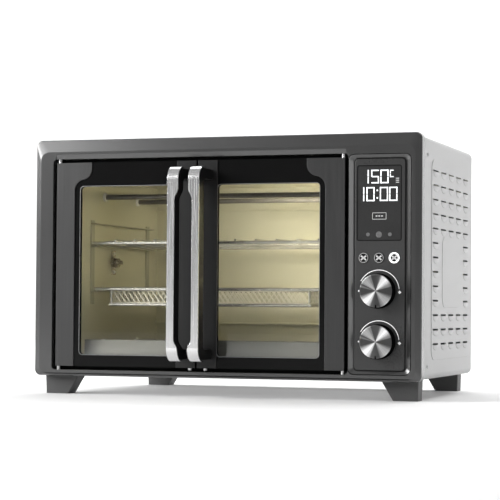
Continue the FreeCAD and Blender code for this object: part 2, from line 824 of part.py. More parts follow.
def make_basket():
    """The air-fry basket: a wire frame that hangs on the ledges, and the mesh tray in it."""
    left, right, front, rear = "basket_left", "basket_right", "basket_front", "basket_rear"
    wide_left, wide_right = "cavity_left + 6", "cavity_right - 6"
    wires = []
    for n, y in enumerate((front, rear)):
        wires.append(rod(f"rim_bar_{n}", "x", "basket_bar", (wide_left, y, "basket_rim_z"),
                         f"({wide_right}) - ({wide_left})"))
        wires.append(rod(f"foot_bar_{n}", "x", "2", (left, y, "basket_foot_z"), f"{right} - {left}"))
        for m, x in enumerate((left, right)):
            wires.append(rod(f"post_{n}{m}", "z", "1.5", (f"{x} + {3 - 6 * m}", y, "basket_foot_z"),
                             "basket_rim_z - basket_foot_z"))
    for m, x in enumerate((f"{wide_left} + 3", f"{wide_right} - 3")):
        wires.append(rod(f"rim_side_{m}", "y", "basket_bar - 0.3", (x, front, "basket_rim_z"), f"{rear} - {front}"))
    for m, x in enumerate((f"{left} + 8", f"{right} - 8", "(basket_left + basket_right) / 2")):
        wires.append(rod(f"foot_side_{m}", "y", "1.7", (x, front, "basket_foot_z"), f"{rear} - {front}"))
    keep("basket_frame", fuse("basket_wires", *wires))

    outside = box("tray_outside", (f"{left} + 2.6", f"{front} + 2.6", "basket_foot_z + 2"),
                  (f"{right} - 2.6", f"{rear} - 2.6", "basket_rim_z"))
    inside = box("tray_inside", (f"{left} + 3.4", f"{front} + 3.4", "basket_foot_z + 2.8"),
                 (f"{right} - 3.4", f"{rear} - 3.4", "basket_rim_z + 5"))
    keep("basket_mesh", cut("tray_cut", outside, inside))


def make_crumb_tray():
    """The sheet tray on the cavity floor, with a tall front lip to pull it by."""
    left, right = "cavity_left + 4", "cavity_right - 4"
    floor = box("tray_floor", (left, "bezel_depth + 4", "cavity_low"), (right, "290", "cavity_low + 0.8"))
    lip = box("tray_lip", (left, "bezel_depth + 4", "cavity_low"), (right, "bezel_depth + 5", "cavity_low + 24"))
    curl = box("tray_curl", (left, "bezel_depth + 4", "cavity_low + 23"),
               (right, "bezel_depth + 9", "cavity_low + 24"))
    walls = [
        box("tray_left", (left, "bezel_depth + 4", "cavity_low"), (f"{left} + 0.8", "290", "cavity_low + 6")),
        box("tray_right", (f"{right} - 0.8", "bezel_depth + 4", "cavity_low"), (right, "290", "cavity_low + 6")),
        box("tray_back", (left, "289.2", "cavity_low"), (right, "290", "cavity_low + 6")),
    ]
    keep("crumb_tray", fuse("crumb_tray_sheet", floor, lip, curl, *walls))


def make_probe():
    """The temperature probe: a flange with two screw ears, a hub, a bulb and its side tube."""
    plate = box("probe_plate", ("cavity_left", "probe_y - 6", "probe_z - 17"),
                ("cavity_left + 1.5", "probe_y + 6", "probe_z + 17"))
    flange = rod("probe_flange", "x", "9", ("cavity_left", "probe_y", "probe_z"), "2.5")
    hub = rod("probe_hub", "x", "6.5", ("cavity_left", "probe_y", "probe_z"), "9")
    bulb = rod("probe_bulb", "x", "3.2", ("cavity_left", "probe_y", "probe_z"), "14")
    tube = rod("probe_tube", "y", "1.8", ("cavity_left + 5", "probe_y - 18", "probe_z"), "18")
    keep("temperature_probe", fuse("probe", plate, flange, hub, bulb, tube))


# ---------------------------------------------------------------- fan, lamp and electronics

def blades(name, count, inner, outer, start_x, length, thick):
    """Straight blades that stand round the fan's axis."""
    made = []
    for n in range(count):
        blade = doc.addObject("Part::Box", f"{name}_blade_{n}")
        bind(blade, Length=length, Width=f"{outer} - ({inner})", Height=thick)
        turn = FreeCAD.Rotation(FreeCAD.Vector(1, 0, 0), 360 * n / count)
        place = turn.multVec(FreeCAD.Vector(0, number(inner), -number(thick) / 2))
        blade.Placement = FreeCAD.Placement(FreeCAD.Vector(0, place.y, place.z), turn)
        bind(
            blade,
            Placement__Base__x=start_x,
            Placement__Base__y=f"face_y + fan_y + {place.y:.6f}",
            Placement__Base__z=f"fan_z + {place.z:.6f}",
        )
        made.append(blade)
    return made


def make_fan():
    """The convection fan and the cooling fan on one shaft, their motor, guard and heat shield."""
    def on_axis(name, radius, start_x, length):
        return rod(name, "x", radius, (start_x, "fan_y", "fan_z"), length)

    guard = on_axis("guard_disc", "fan_hole + 4", "cavity_right + liner_sheet", "1")
    holes = []
    for ring, count in ((10, 6), (20, 12), (30, 18), (40, 24)):
        for n in range(count):
            angle = 2 * math.pi * n / count
            holes.append(rod(
                f"guard_hole_{ring}_{n}", "x", "3",
                ("cavity_right - 1", f"fan_y + {ring * math.cos(angle):.4f}",
                 f"fan_z + {ring * math.sin(angle):.4f}"), "5"
            ))
    keep("fan_guard", cut("guard_cut", guard, *holes))

    fan_x = "cavity_right + 3.6"
    hub = on_axis("fan_hub", "11", fan_x, "12")
    disc = on_axis("fan_disc", "fan_radius", f"{fan_x} + 12", "1")
    bore = on_axis("fan_bore", "shaft_radius", f"{fan_x} - 5", "30")
    impeller = fuse("impeller", hub, disc, *blades("fan", 8, "9", "fan_radius", fan_x, "12.5", "1.2"))
    keep("convection_fan", cut("fan_cut", impeller, bore))

    shield = box("shield_sheet", ("shield_x", "60", "base_top"), ("shield_right", "300", "300"))
    shaft_room = on_axis("shield_hole", "8", "shield_x - 5", "12")
    keep("heat_shield", cut("shield_cut", shield, shaft_room))

    can = on_axis("motor_can", "motor_radius", "shield_right", "motor_length")
    lug = box("motor_lug", ("shield_right", "fan_y - 38", "fan_z - 8"),
              ("shield_right + 3", "fan_y + 38", "fan_z + 8"))
    motor_bore = on_axis("motor_bore", "shaft_radius + 0.05", "shield_right - 5", "motor_length + 10")
    keep("fan_motor", cut("motor_cut", fuse("motor_solid", can, lug), motor_bore))

    keep("motor_shaft", on_axis("shaft", "shaft_radius", "cavity_right + 3.2",
                                "shield_right + motor_length + 16 - cavity_right"))
    cool_x = "shield_right + motor_length + 4"
    cool_hub = on_axis("cooling_hub", "12", cool_x, "14")
    cool_bore = on_axis("cooling_bore", "shaft_radius", f"{cool_x} - 3", "22")
    wheel = fuse("cooling_wheel", cool_hub, *blades("cooling", 6, "9", "cooling_radius", cool_x, "14", "1.6"))
    keep("cooling_fan", cut("cooling_cut", wheel, cool_bore))

    lamp = fuse(
        "lamp_parts",
        rod("lamp_glass", "x", "lamp_radius", ("cavity_right - 8", "lamp_y", "lamp_z"), "8 + liner_sheet"),
        rod("lamp_holder", "x", "lamp_radius + 3", ("cavity_right + liner_sheet", "lamp_y", "lamp_z"), "17"),
    )
    keep("oven_lamp", lamp)


def make_electronics():
    """The power board on its stand-offs, the cord gland, the wall spacers and the screws."""
    floor_z = "base_top"
    board = [box("power_sheet", ("172", "190", f"{floor_z} + 6"), ("258", "296", f"{floor_z} + 7.6"))]
    for n, (x, y) in enumerate(((178, 196), (252, 196), (178, 290), (252, 290))):
        board.append(rod(f"stand_off_{n}", "z", "3", (f"{x}", f"{y}", floor_z), "6.2"))
    for n, (x, y, wide, tall) in enumerate(((182, 205, 20, 18), (210, 205, 20, 18), (184, 240, 32, 26),
                                            (228, 240, 14, 22), (226, 268, 20, 16))):
        board.append(box(f"power_part_{n}", (f"{x}", f"{y}", f"{floor_z} + 7"),
                         (f"{x + wide}", f"{y + 22}", f"{floor_z} + {7 + tall}")))
    keep("power_board", fuse("power_parts", *board))

    gland = fuse(
        "gland_solid",
        rod("gland_neck", "y", "7", ("control_x", "cover_rear - 9", "62"), "18"),
        rod("gland_flange", "y", "10", ("control_x", "cover_rear", "62"), "5"),
        rod("gland_nut", "y", "10", ("control_x", "cover_rear - base_sheet - 4", "62"), "4"),
    )
    gland_bore = rod("gland_bore", "y", "3.8", ("control_x", "cover_rear - 20", "62"), "50")
    keep("cord_gland", cut("gland_cut", gland, gland_bore))

    spacers = []
    for n, x in enumerate((-170, 130)):
        block = box(f"spacer_block_{n}", (f"{x}", "cover_rear", "206"), (f"{x + 40}", "rear_reach", "226"))
        room = box(f"spacer_room_{n}", (f"{x + 3}", "cover_rear - 1", "209"), (f"{x + 37}", "rear_reach - 3", "223"))
        spacers.append(cut(f"spacer_{n}", block, room))
    keep("rear_spacers", group("rear_spacer_pair", *spacers))

    screws = []
    for n, (x, z) in enumerate((x, z) for x in (-256, 256) for z in (44, 136, 228, 320)):
        screws.append(rod(f"rear_screw_{n}", "y", "3", (f"{x}", "case_rear - 2 + base_sheet", f"{z}"), "1.6"))
    for n, (y, z) in enumerate(((46, 319), (46, 44))):
        screws.append(rod(f"right_screw_{n}", "x", "2.6", ("case_half", f"{y}", f"{z}"), "1.2"))
        screws.append(rod(f"left_screw_{n}", "x", "2.6", ("-case_half - 1.2", f"{y}", f"{z}"), "1.2"))
    for n, sign in enumerate((-1, 1)):
        screws.append(rod(f"probe_screw_{n}", "x", "2.4",
                          ("cavity_left + 1.5", "probe_y", f"probe_z + {sign * 13}"), "1.6"))
    keep("panel_screws", group("screw_set", *screws))


# ---------------------------------------------------------------- control column

def key_places():
    """Names and X offsets of the three round keys."""
    return (("light_key", -1), ("convection_key", 0), ("turbo_key", 1))


def make_controls():
    """Fascia, display, keys, dials and the boards behind them."""
    body = new_body("control_fascia_body")
    centre = ("control_x", "(fascia_low + fascia_high) / 2")
    plate = new_sketch(body, "fascia_outline", "XZ_Plane", centre, "fascia_front")
    rounded_outline(plate, "fascia_width", "fascia_high - fascia_low", "fascia_corner")
    raise_pad(body, plate, "fascia_thick", backwards=True)
    round_edges(body, "1", lambda b: in_plane(b.YMin, b.YMax, number("fascia_front")))
    window = new_sketch(
        body, "display_window", "XZ_Plane", ("control_x - 0.9", "(display_low + display_high) / 2"), "0"
    )
    rounded_outline(window, "display_width + 0.4", "display_high - display_low + 0.4", "display_corner")
    sink_pocket(body, window, "10")
    holes = new_sketch(body, "control_holes", "XZ_Plane", ("control_x - 0.9", "0"), "0")
    for _, step in key_places():
        circle_outline(holes, "key_radius + 0.4", (step * number("key_pitch"), number("key_height")))
    for height in ("upper_dial_height", "lower_dial_height"):
        circle_outline(holes, "dial_stem + 1", (0, number(height)))
    sink_pocket(body, holes, "10")
    keep("control_fascia", body)

    lens = new_body("display_lens_body")
    glass = new_sketch(
        lens, "lens_outline", "XZ_Plane", ("control_x - 0.9", "(display_low + display_high) / 2"),
        "fascia_front + 0.3"
    )
    rounded_outline(glass, "display_width", "display_high - display_low", "display_corner - 0.2")
    raise_pad(lens, glass, "fascia_thick - 0.3", backwards=True)
    keep("display_lens", lens)
    keep("display_module", box(
        "display_block", ("control_x - 29.3", "fascia_rear", "display_low - 1"),
        ("control_x + 28.7", "fascia_rear + 8", "display_high + 1")
    ))

    for name, step in key_places():
        place = (f"control_x - 0.9 + {step} * key_pitch", "fascia_front - 1", "key_height")
        flange_at = (place[0], "fascia_rear + 0.9", place[2])
        dish_at = (place[0], "fascia_front - 3", place[2])
        button = fuse(f"{name}_solid", rod(f"{name}_cap", "y", "key_radius", place, "fascia_thick + 2.4"),
                      rod(f"{name}_flange", "y", "key_flange", flange_at, "1.2"))
        keep(name, cut(f"{name}_cut", button, rod(f"{name}_dish", "y", "key_radius - 1", dish_at, "2.3")))

    encoders = []
    for name in ("upper", "lower"):
        height = f"{name}_dial_height"
        stem_at = ("control_x - 0.9", "0", height)
        knob = new_body(f"{name}_knob_body")
        profile = new_sketch(knob, f"{name}_knob_profile", "YZ_Plane", ("0", "0"), "0")
        radius, front, cap = number("dial_radius"), -number("dial_front"), number("dial_cap")
        chain_outline(profile, [
            ("start", (front + cap, 0)),
            ("line", (front + cap, radius - 0.8)),
            ("line", (front + cap + 0.8, radius)),
            ("line", (0, radius + 0.5)),
            ("line", (0.3, radius)),
            ("line", (0.3, number("dial_stem"))),
            ("line", (number("board_front") - 1, number("dial_stem"))),
            ("line", (number("board_front") - 1, 0)),
            ("line", (front + cap, 0)),
        ])
        turned = knob.newObject("PartDesign::Revolution", f"{name}_knob_turned")
        turned.Profile = profile
        turned.ReferenceAxis = (profile, ["H_Axis"])
        turned.Angle = 360
        bind(knob, Placement__Base__x=stem_at[0], Placement__Base__z=height)
        doc.recompute()
        keep(f"{name}_knob", knob)
        cap_at = (stem_at[0], "-dial_front", height)
        disc = rod(f"{name}_cap_disc", "y", "dial_radius - 0.6", cap_at, "dial_cap")
        notch = box(
            f"{name}_cap_notch", (f"{stem_at[0]} - 0.7", "-dial_front - 1", f"{height} - dial_radius"),
            (f"{stem_at[0]} + 0.7", "-dial_front + 0.5", f"{height} - dial_radius + 3.2")
        )
        keep(f"{name}_knob_cap", cut(f"{name}_cap_cut", disc, notch))
        half = "encoder_size / 2"
        block = box(
            f"{name}_encoder_block", (f"{stem_at[0]} - {half}", "fascia_rear + 1", f"{height} - {half}"),
            (f"{stem_at[0]} + {half}", "board_front", f"{height} + {half}")
        )
        bore = rod(f"{name}_encoder_bore", "y", "dial_stem + 0.05", (stem_at[0], "0", height), "board_front + 1")
        encoders.append(cut(f"{name}_encoder", block, bore))
    keep("dial_encoders", group("encoder_pair", *encoders))
    keep("control_board", box(
        "control_sheet", ("control_x - 27", "board_front", "52"),
        ("control_x + 27", "board_front + board_thick", "198")
    ))


# ---------------------------------------------------------------- doors

def make_door(side, sign):
    """One door; sign is -1 for the left door and +1 for the right, offsets run outwards from the meeting line."""
    def across(offset):
        return f"door_x + {sign} * ({offset})"

    def door_sketch(body, name, inner, outer, low, high, level):
        return new_sketch(
            body, f"{side}_{name}", "XZ_Plane", (across(f"(({inner}) + ({outer})) / 2"), f"(({low}) + ({high})) / 2"),
            level
        )

    inner, outer = "door_meeting_gap / 2", "door_half"
    body = new_body(f"{side}_door_frame_body")
    outline = door_sketch(body, "frame_outline", inner, outer, "door_low", "door_high", "plate_y")
    rounded_outline(outline, f"({outer}) - ({inner})", "door_high - door_low", "2")
    raise_pad(body, outline, "door_rear - plate_y", backwards=True)
    room = door_sketch(body, "frame_room", inner, outer, "door_low", "door_high", "glass_y")
    rounded_outline(
        room, f"({outer}) - ({inner}) - 2 * door_wall", "door_high - door_low - 2 * door_wall", "0.8"
    )
    sink_pocket(body, room, "door_rear")
    for end, level in (("top", "door_high - boss_height / 2"), ("bottom", "door_low + boss_height / 2")):
        boss = new_sketch(
            body, f"{side}_{end}_boss", "XZ_Plane", (across(f"{outer} - boss_width / 2"), level), "glass_y"
        )
        slot_outline(boss, (0, 0), number("boss_width - 0.4"), number("boss_height - 0.4"))
        raise_pad(body, boss, "boss_depth", backwards=True)
    window = door_sketch(body, "frame_window", "window_inner", "window_outer", "window_low", "window_high", "0")
    rounded_outline(window, "window_outer - (window_inner)", "window_high - window_low", "window_corner")
    sink_pocket(body, window, "door_rear")
    for end, level, upward in (("top", "door_high - pin_in_door", True), ("bottom", "door_low + pin_in_door", False)):
        bore = new_sketch(body, f"{side}_{end}_bore", "XY_Plane", (across("hinge_offset"), "hinge_depth"), level)
        circle_outline(bore, "pin_radius")
        sink_pocket(body, bore, "pin_in_door + 1", backwards=upward)
    keep(f"{side}_door_frame", body)

    pane = new_body(f"{side}_door_glass_body")
    sheet_outline = door_sketch(pane, "glass_outline", "window_inner", "window_outer", "window_low", "window_high",
                                "glass_y")
    rounded_outline(
        sheet_outline, "window_outer - (window_inner) + 2 * glass_overlap",
        "window_high - window_low + 2 * glass_overlap", "window_corner + 1"
    )
    raise_pad(pane, sheet_outline, "glass_thick", backwards=True)
    keep(f"{side}_door_glass", pane)

    panel = new_body(f"{side}_inner_panel_body")
    far = "door_half - boss_width - 1.5"
    near = "door_meeting_gap / 2 + door_wall + 0.6"
    panel_outline = door_sketch(panel, "panel_outline", near, far, "door_low + 2.2", "door_high - 2.2", "glass_y")
    rounded_outline(panel_outline, f"({far}) - ({near})", "door_high - door_low - 4.4", "2")
    raise_pad(panel, panel_outline, "glass_thick + 1.2", backwards=True)
    seat = door_sketch(panel, "glass_seat", "window_inner", "window_outer", "window_low", "window_high", "0")
    rounded_outline(
        seat, "window_outer - (window_inner) + 2 * glass_overlap + 0.6",
        "window_high - window_low + 2 * glass_overlap + 0.6", "window_corner + 1.3"
    )
    sink_pocket(panel, seat, "retainer_y")
    view = door_sketch(panel, "panel_window", "window_inner", "window_outer", "window_low", "window_high", "0")
    rounded_outline(view, "window_outer - (window_inner)", "window_high - window_low", "window_corner")
    sink_pocket(panel, view, THROUGH)
    keep(f"{side}_inner_panel", panel)

    stile = new_body(f"{side}_outer_stile_body")
    flag = new_sketch(stile, f"{side}_flag", "XZ_Plane", (across("door_half"), "0"), "stile_front")
    low, high = number("door_low"), number("door_high")
    plain, wide = -sign * number("outer_stile_width"), -sign * number("flag_width")
    turn_low, turn_high = number("flag_low"), number("flag_high")
    chain_outline(flag, [
        ("start", (0, low)),
        ("line", (plain, low)),
        ("line", (plain, turn_low)),
        *ogee((plain, turn_low), (wide, turn_high)),
        ("line", (wide, high)),
        ("line", (0, high)),
        ("line", (0, low)),
    ])
    raise_pad(stile, flag, "stile_plate", backwards=True)
    round_edges(stile, "0.5", lambda b: in_plane(b.YMin, b.YMax, number("stile_front")))
    keep(f"{side}_outer_stile", stile)

    cap = new_body(f"{side}_inner_stile_body")
    strip = door_sketch(cap, "inner_stile", inner, f"{inner} + inner_stile_width", "door_low", "door_high",
                        "stile_front")
    rounded_outline(strip, "inner_stile_width", "door_high - door_low", "0.8")
    raise_pad(cap, strip, "stile_plate", backwards=True)
    round_edges(cap, "0.5", lambda b: in_plane(b.YMin, b.YMax, number("stile_front")))
    keep(f"{side}_inner_stile", cap)

    make_handle(side, sign, across)

    pins = [
        rod(f"{side}_pin_top", "z", "pin_radius", (across("hinge_offset"), "hinge_depth", "door_high - pin_in_door"),
            "pin_in_door + door_gap + pin_in_bezel"),
        rod(f"{side}_pin_bottom", "z", "pin_radius",
            (across("hinge_offset"), "hinge_depth", "opening_low - pin_in_bezel"),
            "pin_in_door + door_gap + pin_in_bezel"),
    ]
    keep(f"{side}_hinge_pins", group(f"{side}_pin_pair", *pins))
    keep(f"{side}_door_catch", rod(
        f"{side}_catch_stud", "z", "catch_radius", (across("catch_offset"), "hinge_depth + 3", "door_low - catch_drop"),
        "catch_drop"
    ))


def make_handle(side, sign, across):
    """A D-shaped grip with a bright strip over its front; both are scooped on the side of the meeting line."""
    low, high = number("handle_low"), number("handle_high")
    front, strip = -number("handle_reach"), number("strip_thick")
    turn = number("strip_round")
    rear = number("stile_front")

    def side_profile(body, name, start_offset):
        level = across(start_offset)
        return new_sketch(body, f"{side}_{name}", "YZ_Plane", ("0", "0"), level)

    def scoop(body, name, inset):
        """Cuts the facing edge back between the two S-curves."""
        near = -sign * number(f"handle_width - {inset}")
        deep = near + sign * number("handle_scoop")
        beyond = near - sign * 6
        heights = [number(word) for word in
                   ("scoop_low_end", "scoop_low_start", "scoop_high_start", "scoop_high_end")]
        cutter = new_sketch(
            body, f"{side}_{name}_scoop", "XZ_Plane", (across("handle_inner + handle_width"), "0"),
            "-handle_reach - 1"
        )
        chain_outline(cutter, [
            ("start", (near, heights[0])),
            *ogee((near, heights[0]), (deep, heights[1])),
            ("line", (deep, heights[2])),
            *ogee((deep, heights[2]), (near, heights[3])),
            ("line", (beyond, heights[3])),
            ("line", (beyond, heights[0])),
            ("line", (near, heights[0])),
        ])
        sink_pocket(body, cutter, "handle_reach + 1")

    outside_top = corner_arc((front, high), (1, 0), (0, -1), turn)
    outside_low = corner_arc((front, low), (0, 1), (1, 0), turn)
    inside_top = corner_arc((front + strip, high - strip), (0, -1), (1, 0), turn - strip)
    inside_low = corner_arc((front + strip, low + strip), (1, 0), (0, 1), turn - strip)
    end_y = front + turn + 2

    bright = new_body(f"{side}_handle_strip_body")
    band = side_profile(bright, "strip_profile", "handle_inner" if sign > 0 else "handle_inner + handle_width")
    chain_outline(band, [
        ("start", (end_y, high)),
        ("line", outside_top[0]),
        ("arc", outside_top[1], outside_top[2]),
        ("line", outside_low[0]),
        ("arc", outside_low[1], outside_low[2]),
        ("line", (end_y, low)),
        ("line", (end_y, low + strip)),
        ("line", inside_low[0]),
        ("arc", inside_low[1], inside_low[2]),
        ("line", inside_top[0]),
        ("arc", inside_top[1], inside_top[2]),
        ("line", (end_y, high - strip)),
        ("line", (end_y, high)),
    ])
    raise_pad(bright, band, "handle_width")
    scoop(bright, "strip", "0")
    keep(f"{side}_handle_strip", bright)

    grip = new_body(f"{side}_handle_grip_body")
    bar = side_profile(
        grip, "grip_profile",
        "handle_inner + grip_inset" if sign > 0 else "handle_inner + handle_width - grip_inset"
    )
    gap_y = front + number("bar_depth")
    arm = number("arm_thick")
    finger = number("finger_round")
    gap_top = corner_arc((gap_y, high - arm), (1, 0), (0, -1), finger)
    gap_low = corner_arc((gap_y, low + arm), (0, 1), (1, 0), finger)
    chain_outline(bar, [
        ("start", (rear, high - strip)),
        ("line", inside_top[2]),
        ("arc", inside_top[1], inside_top[0]),
        ("line", inside_low[2]),
        ("arc", inside_low[1], inside_low[0]),
        ("line", (rear, low + strip)),
        ("line", (rear, low + arm)),
        ("line", gap_low[2]),
        ("arc", gap_low[1], gap_low[0]),
        ("line", gap_top[2]),
        ("arc", gap_top[1], gap_top[0]),
        ("line", (rear, high - arm)),
        ("line", (rear, high - strip)),
    ])
    raise_pad(grip, bar, "handle_width - 2 * grip_inset")
    scoop(grip, "grip", "grip_inset")
    keep(f"{side}_handle_grip", grip)


# ---------------------------------------------------------------- build and write

make_bezel()
make_case()
make_panels()
make_feet()
make_liner()
make_heaters()
make_guides()
make_rack()
make_basket()
make_crumb_tray()
make_probe()
make_fan()
make_electronics()
make_controls()
make_door("left", -1)
make_door("right", 1)
doc.recompute()

for item in doc.Objects:
    if "Invalid" in item.State or "Error" in item.State:
        raise ValueError(f"{item.Label} failed to recompute: {item.State}")
for name, item in nodes.items():
    if item.Shape.isNull() or not item.Shape.isValid():
        raise ValueError(f"{name} has no valid shape")

os.makedirs("parts", exist_ok=True)
for name, item in nodes.items():
    item.Shape.exportStep(f"parts/{name}.step")
    print(f"{name}: {len(item.Shape.Solids)} solid(s), {item.Shape.Volume / 1000:.1f} cm3")
print(f"{len(nodes)} nodes written")
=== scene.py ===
import math

import bmesh
import bpy
from mathutils import Matrix, Vector


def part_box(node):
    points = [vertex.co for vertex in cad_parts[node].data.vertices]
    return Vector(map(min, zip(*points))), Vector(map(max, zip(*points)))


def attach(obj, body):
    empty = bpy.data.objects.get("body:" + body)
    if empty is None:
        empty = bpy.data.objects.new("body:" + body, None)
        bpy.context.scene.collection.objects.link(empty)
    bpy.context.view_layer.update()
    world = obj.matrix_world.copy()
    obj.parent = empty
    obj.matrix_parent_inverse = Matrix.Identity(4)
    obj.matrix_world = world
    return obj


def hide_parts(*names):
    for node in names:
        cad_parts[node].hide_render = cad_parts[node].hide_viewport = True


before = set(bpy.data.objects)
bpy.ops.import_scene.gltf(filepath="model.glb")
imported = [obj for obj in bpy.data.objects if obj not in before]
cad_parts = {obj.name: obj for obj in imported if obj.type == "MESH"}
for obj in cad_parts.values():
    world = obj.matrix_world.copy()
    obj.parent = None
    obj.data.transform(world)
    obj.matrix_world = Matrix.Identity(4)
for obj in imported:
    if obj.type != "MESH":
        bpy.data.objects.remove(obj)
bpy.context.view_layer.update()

MM = 0.001
scene = bpy.context.scene
scene.view_settings.view_transform = "Standard"

# Depths are counted from the bezel's front face, widths from the middle and heights from the floor.
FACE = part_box("front_bezel")[0][1]


def at(x, y, z):
    """A place in the row frame from millimetres: across, behind the bezel's face, above the floor."""
    return Vector((x * MM, FACE + y * MM, z * MM))


def span(node):
    """Low and high corner of a node in millimetres, with depths behind the bezel's face."""
    low, high = (Vector(corner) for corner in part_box(node))
    shift = Vector((0, FACE, 0))
    return (low - shift) / MM, (high - shift) / MM


# ---------------------------------------------------------------- shared surface effects

def new_group(name, inputs, outputs):
    """An empty shader node group with inputs (name, kind, default) and outputs (name, kind)."""
    tree = bpy.data.node_groups.new(name, "ShaderNodeTree")
    for label, kind, default in inputs:
        socket = tree.interface.new_socket(label, in_out="INPUT", socket_type=f"NodeSocket{kind}")
        socket.default_value = default
    for label, kind in outputs:
        tree.interface.new_socket(label, in_out="OUTPUT", socket_type=f"NodeSocket{kind}")
    return tree, tree.nodes.new("NodeGroupInput"), tree.nodes.new("NodeGroupOutput")


def add(tree, kind, **settings):
    """A node of that kind with its settings."""
    node = tree.nodes.new(f"ShaderNode{kind}")
    for key, value in settings.items():
        setattr(node, key, value)
    return node


def tinted(tree, colour, source, low, high, variation):
    """The colour, lighter or darker by up to the variation as the source runs from low to high."""
    spread = add(tree, "MapRange")
    spread.inputs["From Min"].default_value = low
    spread.inputs["From Max"].default_value = high
    spread.inputs["To Min"].default_value = -1
    tree.links.new(source, spread.inputs["Value"])
    share = add(tree, "Math", operation="MULTIPLY_ADD")
    share.inputs[2].default_value = 1
    tree.links.new(spread.outputs["Result"], share.inputs[0])
    tree.links.new(variation, share.inputs[1])
    scaled = add(tree, "VectorMath", operation="SCALE")
    tree.links.new(colour, scaled.inputs[0])
    tree.links.new(share.outputs[0], scaled.inputs["Scale"])
    return scaled.outputs[0], spread.outputs["Result"]


def varied(tree, base, source, amount):
    """base + source * amount, for roughness."""
    node = add(tree, "Math", operation="MULTIPLY_ADD")
    tree.links.new(source, node.inputs[0])
    tree.links.new(amount, node.inputs[1])
    tree.links.new(base, node.inputs[2])
    return node.outputs[0]


def steady(tree, value):
    """An output that is the same everywhere, for the helpers that take a source."""
    node = add(tree, "RGB" if isinstance(value, tuple) else "Value")
    node.outputs[0].default_value = value
    return node.outputs[0]


# What both finish groups give out.
FINISH_OUT = (("Color", "Color"), ("Roughness", "Float"), ("Height", "Float"))


def make_grain():
    """Cloudy shade and fine grain of moulded plastic, paint and cast pieces."""
    tree, come, go = new_group(
        "surface_grain",
        (("Color", "Color", (0.5, 0.5, 0.5, 1)), ("Variation", "Float", 0.06),
         ("Patch Scale", "Float", 14.0), ("Grain Scale", "Float", 900.0),
         ("Roughness", "Float", 0.4), ("Rough Variation", "Float", 0.05)),
        FINISH_OUT,
    )
    where = add(tree, "TexCoord").outputs["Object"]
    patch, grain = add(tree, "TexNoise"), add(tree, "TexNoise")
    for node, scale, detail in ((patch, "Patch Scale", 3), (grain, "Grain Scale", 2)):
        tree.links.new(where, node.inputs["Vector"])
        tree.links.new(come.outputs[scale], node.inputs["Scale"])
        node.inputs["Detail"].default_value = detail
    both = add(tree, "Math", operation="ADD")
    tree.links.new(patch.outputs["Fac"], both.inputs[0])
    tree.links.new(grain.outputs["Fac"], both.inputs[1])
    colour, spread = tinted(
        tree, come.outputs["Color"], both.outputs[0], 0.6, 1.4, come.outputs["Variation"]
    )
    tree.links.new(colour, go.inputs["Color"])
    rough = varied(tree, come.outputs["Roughness"], spread, come.outputs["Rough Variation"])
    tree.links.new(rough, go.inputs["Roughness"])
    tree.links.new(grain.outputs["Fac"], go.inputs["Height"])
    return tree


def make_brushed():
    """Fine lines of brushed or drawn metal, long where the stretch is small."""
    tree, come, go = new_group(
        "brushed_lines",
        (("Color", "Color", (0.5, 0.5, 0.5, 1)), ("Stretch", "Vector", (900.0, 900.0, 12.0)),
         ("Variation", "Float", 0.08), ("Roughness", "Float", 0.3),
         ("Rough Variation", "Float", 0.06)),
        FINISH_OUT,
    )
    where = add(tree, "TexCoord").outputs["Object"]
    stretched = add(tree, "VectorMath", operation="MULTIPLY")
    tree.links.new(where, stretched.inputs[0])
    tree.links.new(come.outputs["Stretch"], stretched.inputs[1])
    lines = add(tree, "TexNoise")
    lines.inputs["Scale"].default_value = 1
    lines.inputs["Detail"].default_value = 4
    tree.links.new(stretched.outputs[0], lines.inputs["Vector"])
    colour, spread = tinted(
        tree, come.outputs["Color"], lines.outputs["Fac"], 0.3, 0.7, come.outputs["Variation"]
    )
    tree.links.new(colour, go.inputs["Color"])
    rough = varied(tree, come.outputs["Roughness"], spread, come.outputs["Rough Variation"])
    tree.links.new(rough, go.inputs["Roughness"])
    tree.links.new(lines.outputs["Fac"], go.inputs["Height"])
    return tree


def make_edges():
    """Soft edges that catch the light, and a lighter rubbed line along them."""
    tree, come, go = new_group(
        "rubbed_edges",
        (("Color", "Color", (0.5, 0.5, 0.5, 1)), ("Rubbed Color", "Color", (0.7, 0.7, 0.7, 1)),
         ("Width", "Float", 0.0006), ("Amount", "Float", 0.4)),
        (("Color", "Color"), ("Normal", "Vector")),
    )
    soft = add(tree, "Bevel", samples=4)
    tree.links.new(come.outputs["Width"], soft.inputs["Radius"])
    flat = add(tree, "NewGeometry")
    likeness = add(tree, "VectorMath", operation="DOT_PRODUCT")
    tree.links.new(soft.outputs["Normal"], likeness.inputs[0])
    tree.links.new(flat.outputs["Normal"], likeness.inputs[1])
    edge = add(tree, "MapRange")
    edge.inputs["From Min"].default_value = 0.995
    edge.inputs["From Max"].default_value = 0.85
    tree.links.new(likeness.outputs["Value"], edge.inputs["Value"])
    patches = add(tree, "TexNoise")
    patches.inputs["Scale"].default_value = 60
    tree.links.new(add(tree, "TexCoord").outputs["Object"], patches.inputs["Vector"])
    worn = add(tree, "Math", operation="MULTIPLY")
    tree.links.new(edge.outputs["Result"], worn.inputs[0])
    tree.links.new(patches.outputs["Fac"], worn.inputs[1])
    share = add(tree, "Math", operation="MULTIPLY", use_clamp=True)
    tree.links.new(worn.outputs[0], share.inputs[0])
    tree.links.new(come.outputs["Amount"], share.inputs[1])
    blend = add(tree, "Mix", data_type="RGBA")
    tree.links.new(share.outputs[0], blend.inputs["Factor"])
    tree.links.new(come.outputs["Color"], blend.inputs[6])
    tree.links.new(come.outputs["Rubbed Color"], blend.inputs[7])
    tree.links.new(blend.outputs[2], go.inputs["Color"])
    tree.links.new(soft.outputs["Normal"], go.inputs["Normal"])
    return tree


